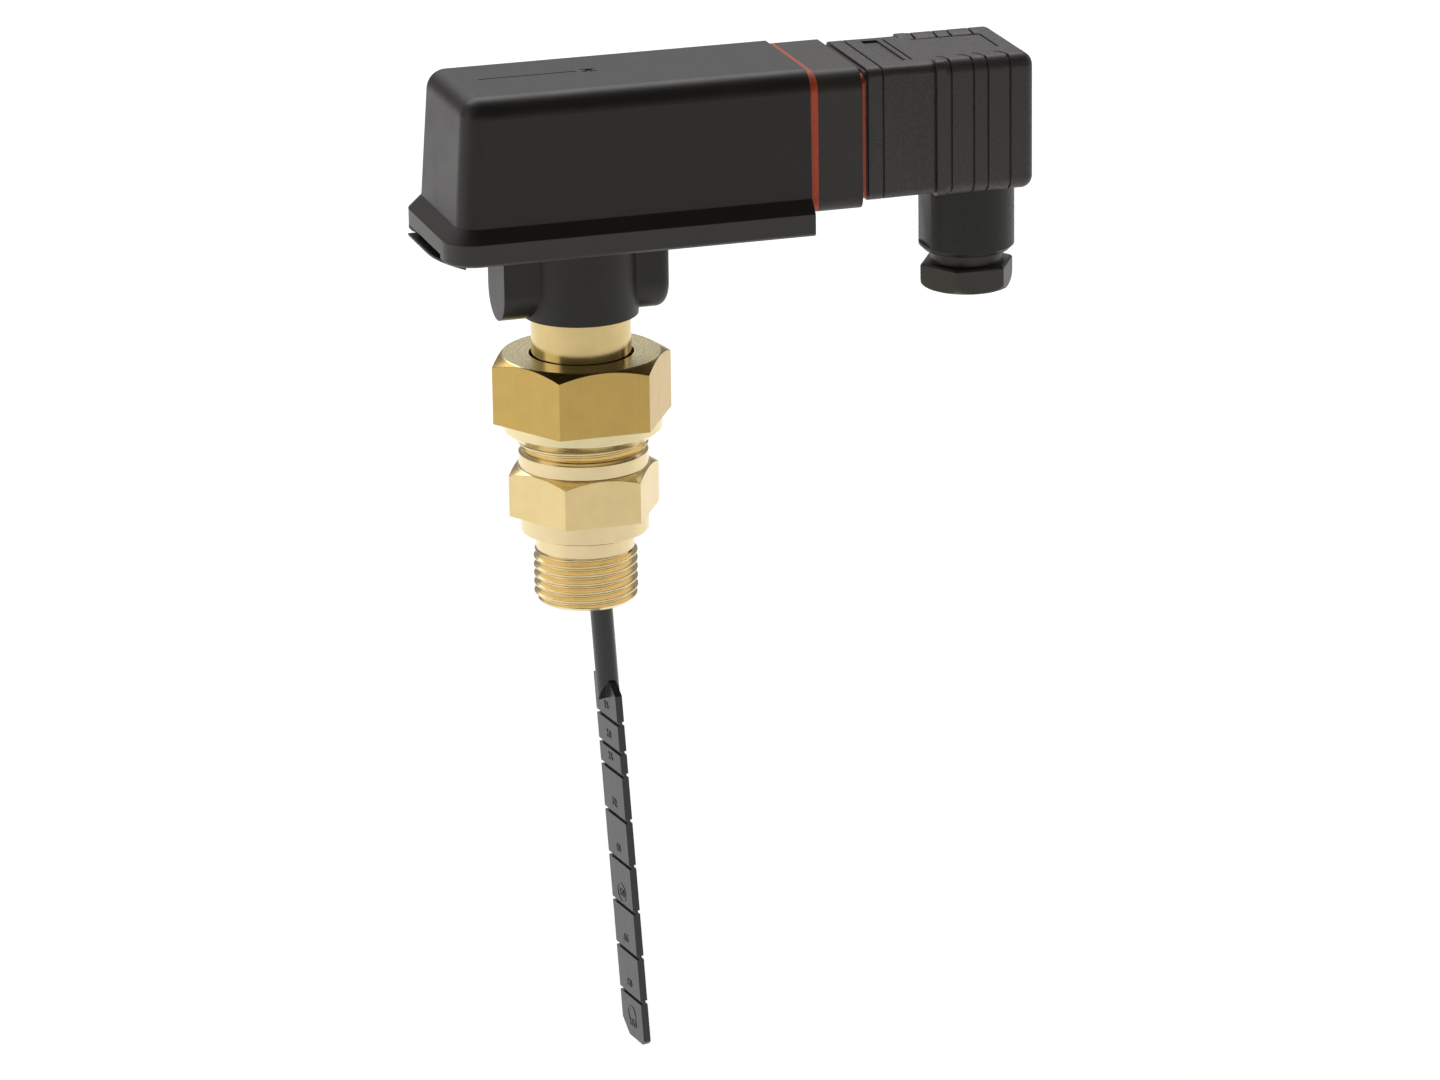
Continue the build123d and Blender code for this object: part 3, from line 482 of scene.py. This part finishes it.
def reed_glass(name):
    """Green-tinted glass of the reed switch."""
    finish = Finish(name, (0.55, 0.75, 0.55), 0.08)
    finish.shader.inputs["Transmission Weight"].default_value = 0.85
    finish.bump(finish.noise(400.0, 2.0), 0.03, 0.05 * MM)
    return finish.material


def dress(material, *names):
    """Give CAD nodes a finish."""
    for name in names:
        node = nodes[name]
        for place in node.material_slots:
            place.material = material


def piece(name, mesh, material, body, slot, *replaced):
    """Add a mesh as a piece that rides on a body and stands for nodes."""
    made = bpy.data.objects.new(name, mesh)
    bpy.context.scene.collection.objects.link(made)
    made.data.materials.append(material)
    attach(made, body)
    if replaced:
        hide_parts(*replaced)
    return made


def mesh_from(build, name, sharp_angle=30.0):
    """Turn a bmesh into a smooth-shaded mesh with sharp corners."""
    bmesh.ops.remove_doubles(build, verts=build.verts, dist=1e-7)
    bmesh.ops.dissolve_degenerate(build, edges=build.edges, dist=1e-7)
    bmesh.ops.recalc_face_normals(build, faces=build.faces)
    mesh = bpy.data.meshes.new(name)
    build.to_mesh(mesh)
    build.free()
    mesh.shade_smooth()
    mesh.set_sharp_from_angle(angle=math.radians(sharp_angle))
    return mesh


def skin(build, rows):
    """Join rows of points by faces."""
    made = [[build.verts.new(point) for point in row] for row in rows]
    for lower, upper in zip(made, made[1:]):
        for i in range(len(lower) - 1):
            build.faces.new((lower[i], lower[i + 1], upper[i + 1], upper[i]))


def ring_row(steps, radius, level):
    """A closed circle of points about the tube's axis."""
    return [
        (radius * math.cos(turn), radius * math.sin(turn), level)
        for turn in (math.tau * i / steps for i in range(steps + 1))
    ]


def whitworth(phase):
    """Height of a rounded pipe thread, from 0 at the root to 1 at the crest."""
    rise = (1 - abs(2 * phase - 1) - 0.14) / 0.72
    rise = min(1.0, max(0.0, rise))
    return rise * rise * (3 - 2 * rise) * 0.35 + rise * 0.65


def thread_rows(steps, low, high, root, crest, pitch, low_rim, high_rim):
    """Rows of a helical thread, cut back at 45 degrees to a rim at each end."""
    samples = 12
    count = int(math.ceil((high - low) / pitch)) + 1
    rows = []
    for j in range(samples * count + 1):
        row = []
        lift = root + (crest - root) * whitworth((j % samples) / samples)
        for i in range(steps + 1):
            turn = math.tau * i / steps
            level = low + pitch * (j / samples - 1 + i / steps)
            level = min(high, max(low, level))
            limit = min(low_rim + level - low, high_rim + high - level)
            radius = max(min(lift, limit), min(root, low_rim))
            row.append((radius * math.cos(turn), radius * math.sin(turn), level))
        rows.append(row)
    return rows


def hexagon_rows(steps, across_flats, low, high, face, inner):
    """Rows of a hexagon whose top corners are turned off at 30 degrees."""
    foot = []
    brim = []
    for i in range(steps + 1):
        turn = math.tau * i / steps
        off_centre = math.fmod(turn, math.pi / 3) - math.pi / 6
        radius = across_flats / 2 / math.cos(off_centre)
        drop = max(0.0, (radius - face) * math.tan(math.radians(30)))
        x, y = radius * math.cos(turn), radius * math.sin(turn)
        foot.append((x, y, low))
        brim.append((x, y, high - drop))
    return [
        ring_row(steps, inner, low),
        foot,
        brim,
        ring_row(steps, face, high),
        ring_row(steps, inner, high),
    ]


def paddle_hang():
    """Where the paddle's own frame lies: at its pin, turned and leaning as it hangs."""
    return (
        Matrix.Translation((0, 0, PADDLE_PIVOT))
        @ Matrix.Rotation(PADDLE_TURN, 4, "Z")
        @ Matrix.Rotation(PADDLE_LEAN, 4, "Y")
    )


def number_mesh(label, height, drop):
    """A plain raised number on the paddle's face, at a depth below the pin."""
    name = "segment_number_" + label
    words = bpy.data.curves.new(name, "FONT")
    words.body = label
    words.size = height * 1.4
    words.extrude = 0.12 * MM
    words.offset = 0.02 * MM
    words.align_x = "CENTER"
    words.align_y = "BOTTOM"
    drawn = bpy.data.objects.new("number_curve", words)
    bpy.context.scene.collection.objects.link(drawn)
    bpy.context.view_layer.update()
    mesh = bpy.data.meshes.new_from_object(drawn)
    bpy.data.objects.remove(drawn)
    faced = Matrix(((0, 0, -1), (-1, 0, 0), (0, 1, 0))).to_4x4()
    mesh.transform(paddle_hang() @ Matrix.Translation((PADDLE_FACE, 0, drop)) @ faced)
    mesh.materials.clear()
    return mesh


def mould_ring_mesh(radius, drop):
    """A thin raised ring on the paddle's face, left by the mould."""
    around = 48
    across = 6
    wire = 0.11 * MM
    rows = []
    for j in range(across + 1):
        bend = math.tau * j / across
        reach = radius + wire * math.cos(bend)
        depth = PADDLE_FACE + wire * math.sin(bend)
        turns = [math.tau * i / around for i in range(around + 1)]
        rows.append([(depth, reach * math.cos(turn), reach * math.sin(turn)) for turn in turns])
    build = bmesh.new()
    skin(build, rows)
    mesh = mesh_from(build, "mould_ring")
    mesh.transform(paddle_hang() @ Matrix.Translation((0, 0, drop)))
    return mesh


def hexagon_outline(steps, half, limit, level):
    """A hexagon of points, cut back to a round limit, about the tube's axis."""
    row = []
    for i in range(steps + 1):
        turn = math.tau * i / steps
        off_centre = math.fmod(turn, math.pi / 3) - math.pi / 6
        radius = min(limit, half / math.cos(off_centre))
        row.append((radius * math.cos(turn), radius * math.sin(turn), level))
    return row


def gland_rows(steps):
    """Rows of the gland screw: a hexagon with a round foot under its stem."""
    half = gland_high.y
    corner = half / math.cos(math.pi / 6)
    foot_inset = 0.6 * MM
    foot_height = 2.0 * MM
    foot_bends = 8
    edge = 0.4 * MM
    hexagon_top = gland_low.z + 5.3 * MM
    stem = 7.2 * MM
    mouth = 4.6 * MM
    rows = [ring_row(steps, mouth, gland_high.z), ring_row(steps, mouth, gland_low.z)]
    for k in range(foot_bends + 1):
        turn = math.pi / 2 * k / foot_bends
        limit = half - foot_inset + (corner - half + foot_inset) * math.sin(turn)
        level = gland_low.z + foot_height * (1 - math.cos(turn))
        rows.append(hexagon_outline(steps, half, limit, level))
    rows += [
        hexagon_outline(steps, half, corner, hexagon_top - edge),
        hexagon_outline(steps, half - edge, corner, hexagon_top),
        ring_row(steps, stem, hexagon_top),
        ring_row(steps, stem, gland_high.z),
        ring_row(steps, mouth, gland_high.z),
    ]
    return rows


def cut_across(build, axis, places):
    """Cut a mesh by planes square to an axis, so that its points can be moved there."""
    normal = Vector((axis == 0, axis == 1, axis == 2))
    for place in places:
        everything = build.verts[:] + build.edges[:] + build.faces[:]
        bmesh.ops.bisect_plane(
            build, geom=everything, plane_co=normal * place, plane_no=normal, dist=1e-7
        )


def plug_reach(x, y):
    """How far the plug's sides, and its top and foot, lie from its middle, in millimetres."""
    full = 13.4
    line_depth = 0.42
    rib_rise = 0.45
    fade = min(1.0, max(0.0, (abs(y) - 8.4) / 3.8))
    if 58.8 < x < 59.2:
        return full - line_depth, full - line_depth
    if 69.67 < x < 70.08:
        return full - line_depth, full
    if x > 70.12:
        return full + rib_rise, full + rib_rise * fade
    return full, full


def fill_collar(build):
    """Bring the plug's collar to its full size, with its lines, in the copied mesh."""
    wall = 12.0 * MM
    rebate_end = 55.9
    first_end = 68.4
    second_end = 72.02
    first_half = 12.8
    second_half = 12.98
    near = 0.04
    places = [rebate_end, rebate_end + near]
    for low, high in [(58.78, 59.22), (69.65, 70.1)]:
        places += [low, low + near, high - near, high]
    places.append(70.14)
    cut_across(build, 0, [place * MM for place in places])
    cut_across(build, 1, [y * MM for y in (-12.2, -8.4, 8.4, 12.2)])
    seam = []
    for point in build.verts:
        x, y = point.co.x / MM, point.co.y / MM
        if not rebate_end + near / 2 < x < second_end:
            continue
        if max(abs(point.co.y), abs(point.co.z - PLUG_MIDDLE)) < wall:
            continue
        half = first_half if x < first_end - near else second_half
        if abs(x - first_end) < near:
            half = (first_half + second_half) / 2
            seam.append(point)
        if max(abs(y), abs(point.co.z - PLUG_MIDDLE) / MM) > second_half + near:
            continue
        side, rise = plug_reach(x, y)
        point.co.y *= side / half
        point.co.z = PLUG_MIDDLE + (point.co.z - PLUG_MIDDLE) * rise / half
    bmesh.ops.remove_doubles(build, verts=seam, dist=0.22 * MM)


def sink_fields(build):
    """Sink the bare name field and the cross line in the plug's top."""
    near = 0.04
    field_near = -8.3
    field_far = 9.9
    field_depth = 0.42 * MM
    top = 91.8 * MM
    across = [field_near, field_near + near, field_far - near, field_far]
    cut_across(build, 1, [y * MM for y in across])
    for low, high in [(62.1, 65.5), (66.575, 67.025)]:
        along = [low, low + near, high - near, high]
        cut_across(build, 0, [x * MM for x in along])
        for point in build.verts:
            x, y = point.co.x / MM, point.co.y / MM
            within_x = low + near / 2 < x < high - near / 2
            within_y = field_near + near / 2 < y < field_far - near / 2
            if within_x and within_y and point.co.z > top:
                point.co.z -= field_depth


def marked_plug(mesh):
    """Mend the collar of a copy of the plug's mesh and sink its fields."""
    if "custom_normal" in mesh.attributes:
        mesh.attributes.remove(mesh.attributes["custom_normal"])
    build = bmesh.new()
    build.from_mesh(mesh)
    bmesh.ops.remove_doubles(build, verts=build.verts, dist=1e-6)
    fill_collar(build)
    sink_fields(build)
    return mesh_from(build, "marked_plug")


class FLOWSWITCH_OT_fitting(bpy.types.Operator):
    """Screwed fitting with its pipe thread and union thread"""

    bl_idname = "flow_switch.fitting"
    bl_label = "Fitting"

    def execute(self, context):
        sizes = context.scene.flow_switch_sizes
        colours = context.scene.flow_switch_colours
        steps = sizes.turn_steps
        bottom = fitting_low.z
        top = fitting_high.z
        relief_top = 0.0
        relief_bottom = -3.7 * MM
        relief = 9.85 * MM
        boss = 12.9 * MM
        flats = 2 * fitting_high.y
        hexagon_low = 3.9 * MM
        hexagon_high = 13.6 * MM
        shoulder = 13.0 * MM
        thread_low = 16.9 * MM
        bore = 8.0 * MM
        chamfer = 1.15 * MM
        build = bmesh.new()
        rows = [ring_row(steps, bore, bottom), ring_row(steps, sizes.pipe_crest - chamfer, bottom)]
        rows += thread_rows(
            steps,
            bottom,
            relief_bottom,
            sizes.pipe_root,
            sizes.pipe_crest,
            sizes.pitch,
            sizes.pipe_crest - chamfer,
            relief,
        )
        rows += [
            ring_row(steps, relief, relief_bottom),
            ring_row(steps, relief, relief_top),
            ring_row(steps, boss - 0.25 * MM, relief_top),
            ring_row(steps, boss, relief_top + 0.25 * MM),
            ring_row(steps, boss, hexagon_low),
            ring_row(steps, shoulder, hexagon_low),
            ring_row(steps, shoulder, thread_low - 0.5 * MM),
            ring_row(steps, shoulder - 0.5 * MM, thread_low),
        ]
        rows += thread_rows(
            steps,
            thread_low,
            top,
            sizes.union_root,
            sizes.union_crest,
            sizes.pitch,
            sizes.union_root,
            sizes.union_crest - chamfer,
        )
        rows += [ring_row(steps, bore, top), ring_row(steps, bore, bottom)]
        skin(build, rows)
        skin(
            build,
            hexagon_rows(steps, flats, hexagon_low, hexagon_high, flats / 2 - 0.3 * MM, bore + MM),
        )
        brass = bar_brass(
            "fitting_brass",
            colours.fitting_brass,
            colours.fitting_turned_with_painted_reflection,
            sizes.edge_radius,
            flats / 2 - 0.04 * MM,
            0.22,
        )
        mesh = mesh_from(build, "threaded_fitting")
        piece("threaded_fitting", mesh, brass, "fitting", "fitting_brass", "fitting")
        dress(rubber("grey_seal", (0.12, 0.12, 0.115)), "union_seal")
        return {"FINISHED"}


class FLOWSWITCH_OT_union_nut(bpy.types.Operator):
    """Union nut of drawn hexagon brass"""

    bl_idname = "flow_switch.union_nut"
    bl_label = "Union nut"

    def execute(self, context):
        sizes = context.scene.flow_switch_sizes
        colours = context.scene.flow_switch_colours
        brass = bar_brass(
            "nut_brass",
            colours.nut_brass,
            colours.nut_turned_with_painted_reflection,
            sizes.edge_radius,
            nut_high.y - 0.04 * MM,
            0.25,
        )
        dress(brass, "union_nut")
        return {"FINISHED"}


class FLOWSWITCH_OT_tube(bpy.types.Operator):
    """Brass tube with its pin, ring seal, washer and circlip"""

    bl_idname = "flow_switch.tube"
    bl_label = "Tube"

    def execute(self, context):
        sizes = context.scene.flow_switch_sizes
        colours = context.scene.flow_switch_colours
        dress(turned_brass("tube_brass", colours.tube_brass, sizes.edge_radius), "sensor_tube")
        dress(plain_metal("steel", colours.steel), "pivot_pin", "tube_washer")
        dress(plain_metal("spring_steel", (0.16, 0.16, 0.17), 0.28), "tube_circlip")
        dress(plain_metal("magnet_metal", (0.42, 0.42, 0.43), 0.4), "return_magnet", "paddle_magnet")
        dress(rubber("black_rubber", (0.018, 0.018, 0.018)), "tube_o_ring", "gland_seal")
        return {"FINISHED"}


class FLOWSWITCH_OT_paddle(bpy.types.Operator):
    """Paddle with plain numbers and mould marks on its segments"""

    bl_idname = "flow_switch.paddle"
    bl_label = "Paddle"

    def execute(self, context):
        sizes = context.scene.flow_switch_sizes
        colours = context.scene.flow_switch_colours
        plastic = filled_plastic("paddle_plastic", colours.paddle)
        dress(plastic, "paddle")
        stem = 63.9
        above_score = 1.5
        above_tip = 2.0
        ends = [8.4, 14.7, 19.6, 29.6, 39.6, 49.6, 59.6, 69.6, 79.1]
        labels = ["15", "20", "25", "32", "40", "50", "65", "80", "100"]
        for end, label in zip(ends, labels):
            lift = above_tip if end == ends[-1] else above_score
            mesh = number_mesh(label, sizes.number_height, -(stem + end - lift) * MM)
            piece("segment_number_" + label, mesh, plastic, "paddle", "paddle_plastic")
        for index, (drop, share) in enumerate([(-110.6, 0.85), (-137.8, 0.8)]):
            mesh = mould_ring_mesh(sizes.ring_radius * share, drop * MM)
            piece(f"mould_ring_{index}", mesh, plastic, "paddle", "paddle_plastic")
        return {"FINISHED"}


class FLOWSWITCH_OT_hood(bpy.types.Operator):
    """Hood, base and socket in satin plastic"""

    bl_idname = "flow_switch.hood"
    bl_label = "Hood and base"

    def execute(self, context):
        colours = context.scene.flow_switch_colours
        # The hood's foot, below this level, is painted lighter: painted light on the hood's own
        # plastic.
        painted_light_rim_top = HOOD_PAINTED_LIGHT_RIM_TOP - nodes["cover"].matrix_world.translation.z
        dress(smooth_plastic("hood_plastic", colours.hood, colours.rim, painted_light_rim_top), "cover")
        dress(smooth_plastic("base_plastic", colours.base), "base_plate")
        dress(smooth_plastic("socket_plastic", colours.socket), "socket_block")
        return {"FINISHED"}


class FLOWSWITCH_OT_gaskets(bpy.types.Operator):
    """Red silicone gaskets on both sides of the socket"""

    bl_idname = "flow_switch.gaskets"
    bl_label = "Gaskets"

    def execute(self, context):
        colours = context.scene.flow_switch_colours
        silicone = rubber("red_silicone", colours.silicone, 0.15)
        dress(silicone, "cover_gasket")
        node = nodes["plug_gasket"]
        mesh = node.data.copy()
        mesh.transform(node.matrix_world)
        squeezed = 0.9 * MM
        for vertex in mesh.vertices:
            if vertex.co.z > gasket_high.z - 1.5 * MM:
                vertex.co.z -= squeezed
        mesh.materials.clear()
        piece("squeezed_gasket", mesh, silicone, "plug", "red_silicone", "plug_gasket")
        return {"FINISHED"}


class FLOWSWITCH_OT_plug(bpy.types.Operator):
    """Angled plug, its terminal block and the cable gland"""

    bl_idname = "flow_switch.plug"
    bl_label = "Plug and gland"

    def execute(self, context):
        colours = context.scene.flow_switch_colours
        steps = context.scene.flow_switch_sizes.turn_steps
        # The cable neck, below this level, gets painted shade.
        plastic = grained_plastic("plug_plastic", colours.plug, colours.neck_painted_shade, PAINTED_SHADE_NECK_TOP)
        dress(plastic, "plug_insert")
        node = nodes["plug_housing"]
        mesh = node.data.copy()
        mesh.transform(node.matrix_world)
        mesh.materials.clear()
        mesh = marked_plug(mesh)
        piece("marked_plug", mesh, plastic, "plug", "plug_plastic", "plug_housing")
        build = bmesh.new()
        skin(build, gland_rows(steps))
        mesh = mesh_from(build, "gland_screw")
        mesh.transform(Matrix.Translation(((gland_low.x + gland_high.x) / 2, 0, 0)))
        plastic = smooth_plastic("gland_plastic", colours.gland)
        piece("gland_screw", mesh, plastic, "gland_nut", "gland_plastic", "gland_nut")
        dress(
            plain_metal("screw_steel", colours.steel),
            "fixing_screw",
            "terminal_screws",
            "socket_screws",
            "gland_washer",
        )
        return {"FINISHED"}


class FLOWSWITCH_OT_electrics(bpy.types.Operator):
    """Contacts, board and reed switch inside the hood"""

    bl_idname = "flow_switch.electrics"
    bl_label = "Electrics"

    def execute(self, context):
        colours = context.scene.flow_switch_colours
        dress(board_lacquer("board_green", colours.board), "switch_board")
        dress(reed_glass("reed_glass"), "reed_switch")
        dress(plain_metal("contact_metal", (0.66, 0.65, 0.62), 0.2), "contact_blades", "earth_blade")
        dress(
            turned_brass("contact_brass", (0.78, 0.6, 0.3), 0.1 * MM, 0.22),
            "terminal_clamps",
            "screw_bush",
        )
        return {"FINISHED"}


def add_floor(scene, colour):
    """A wide pale floor that also glows a little, as a light table does."""
    level = -0.30
    reach = 9.0
    cells = 12
    steps = [-reach + 2 * reach * i / cells for i in range(cells + 1)]
    build = bmesh.new()
    skin(build, [[(x, y, level) for x in steps] for y in steps])
    floor = bpy.data.objects.new("studio_floor", mesh_from(build, "studio_floor"))
    scene.collection.objects.link(floor)
    finish = Finish("studio_paper", colour, 0.9)
    finish.tint(finish.noise(3.0, 3.0), shade(colour, 0.985), shade(colour, 1.01))
    finish.shader.inputs["Emission Color"].default_value = (1.0, 1.0, 1.0, 1.0)
    finish.shader.inputs["Emission Strength"].default_value = 0.44
    floor.data.materials.append(finish.material)


def add_air(scene):
    """Dim air in front that grows lighter behind the object."""
    front = 0.07
    behind = 0.27
    world = bpy.data.worlds.new("studio_air")
    world.use_nodes = True
    scene.world = world
    air = world.node_tree
    backdrop = air.nodes["Background"]
    backdrop.inputs["Strength"].default_value = 1.0
    direction = air.nodes.new("ShaderNodeTexCoord")
    parts = air.nodes.new("ShaderNodeSeparateXYZ")
    air.links.new(direction.outputs["Generated"], parts.inputs["Vector"])
    depth = air.nodes.new("ShaderNodeMapRange")
    depth.interpolation_type = "SMOOTHSTEP"
    depth.inputs["From Min"].default_value = -0.35
    depth.inputs["From Max"].default_value = 0.45
    depth.inputs["To Min"].default_value = front
    depth.inputs["To Max"].default_value = behind
    air.links.new(parts.outputs["Y"], depth.inputs["Value"])
    air.links.new(depth.outputs["Result"], backdrop.inputs["Color"])


def add_lamp(scene, name, place, target, width, height, brightness):
    """A soft panel of an even brightness that looks at a point."""
    lamp = bpy.data.lights.new(name, "AREA")
    lamp.shape = "RECTANGLE"
    lamp.size = width
    lamp.size_y = height
    lamp.energy = math.pi * width * height * brightness
    stand = bpy.data.objects.new(name, lamp)
    stand.location = place
    aim = Vector(target) - Vector(place)
    stand.rotation_euler = aim.to_track_quat("-Z", "Y").to_euler()
    scene.collection.objects.link(stand)


def add_camera(scene):
    """The view of the photograph, solved from the object's straight edges."""
    eye = bpy.data.cameras.new("photo_view")
    eye.lens = 165.1
    eye.sensor_width = 36.0
    eye.clip_start = 0.05
    eye.clip_end = 50.0
    camera = bpy.data.objects.new("photo_view", eye)
    right = Vector((0.9545, -0.2980, -0.0138)).normalized()
    back = -Vector((0.2795, 0.9097, -0.3074)).normalized()
    up = back.cross(right).normalized()
    right = up.cross(back)
    turn = Matrix((right, up, back)).transposed()
    place = Matrix.Translation((-0.34384, -1.21092, 0.4033))
    camera.matrix_world = place @ turn.to_4x4()
    scene.collection.objects.link(camera)
    scene.camera = camera


class FLOWSWITCH_OT_stage(bpy.types.Operator):
    """Pale floor, soft studio light and the camera"""

    bl_idname = "flow_switch.stage"
    bl_label = "Stage"

    def execute(self, context):
        scene = context.scene
        scene.view_settings.view_transform = "Standard"
        add_floor(scene, scene.flow_switch_colours.floor)
        add_air(scene)
        panels = [
            ("left_panel", (-1.6, -0.05, 0.55), (0, 0, 0.06), 1.2, 1.2, 0.72),
            ("right_panel", (1.7, 0.35, 0.7), (0, 0, 0.03), 0.9, 1.2, 0.5),
            ("top_panel", (-0.1, 0.65, 1.45), (0, 0.05, 0.05), 1.5, 1.0, 0.8),
            ("rear_panel", (0.2, 2.2, 1.9), (0.2, 1.9, -0.3), 3.0, 2.6, 1.7),
        ]
        for name, place, target, width, height, brightness in panels:
            add_lamp(scene, name, place, target, width, height, brightness)
        add_camera(scene)
        return {"FINISHED"}


class FLOWSWITCH_PT_panel(bpy.types.Panel):
    """Lists the pieces of the flow switch"""

    bl_idname = "FLOWSWITCH_PT_panel"
    bl_label = "Paddle flow switch"
    bl_space_type = "VIEW_3D"
    bl_region_type = "UI"
    bl_category = "Flow switch"

    def draw(self, context):
        for group in (context.scene.flow_switch_sizes, context.scene.flow_switch_colours):
            box = self.layout.box()
            for name in group.__annotations__:
                box.prop(group, name)
        for operator in operators:
            self.layout.operator(operator.bl_idname)


operators = (
    FLOWSWITCH_OT_stage,
    FLOWSWITCH_OT_fitting,
    FLOWSWITCH_OT_union_nut,
    FLOWSWITCH_OT_tube,
    FLOWSWITCH_OT_paddle,
    FLOWSWITCH_OT_hood,
    FLOWSWITCH_OT_gaskets,
    FLOWSWITCH_OT_plug,
    FLOWSWITCH_OT_electrics,
)
classes = (FlowSwitchSizes, FlowSwitchColours) + operators + (FLOWSWITCH_PT_panel,)


def register():
    """Make the settings, the operators and the panel known."""
    for kind in classes:
        bpy.utils.register_class(kind)
    bpy.types.Scene.flow_switch_sizes = PointerProperty(type=FlowSwitchSizes)
    bpy.types.Scene.flow_switch_colours = PointerProperty(type=FlowSwitchColours)


def unregister():
    """Take them away again."""
    del bpy.types.Scene.flow_switch_colours
    del bpy.types.Scene.flow_switch_sizes
    for kind in reversed(classes):
        bpy.utils.unregister_class(kind)


def main():
    """Dress every piece."""
    register()
    bpy.ops.flow_switch.stage()
    bpy.ops.flow_switch.fitting()
    bpy.ops.flow_switch.union_nut()
    bpy.ops.flow_switch.tube()
    bpy.ops.flow_switch.paddle()
    bpy.ops.flow_switch.hood()
    bpy.ops.flow_switch.gaskets()
    bpy.ops.flow_switch.plug()
    bpy.ops.flow_switch.electrics()


if __name__ == "__main__":
    main()
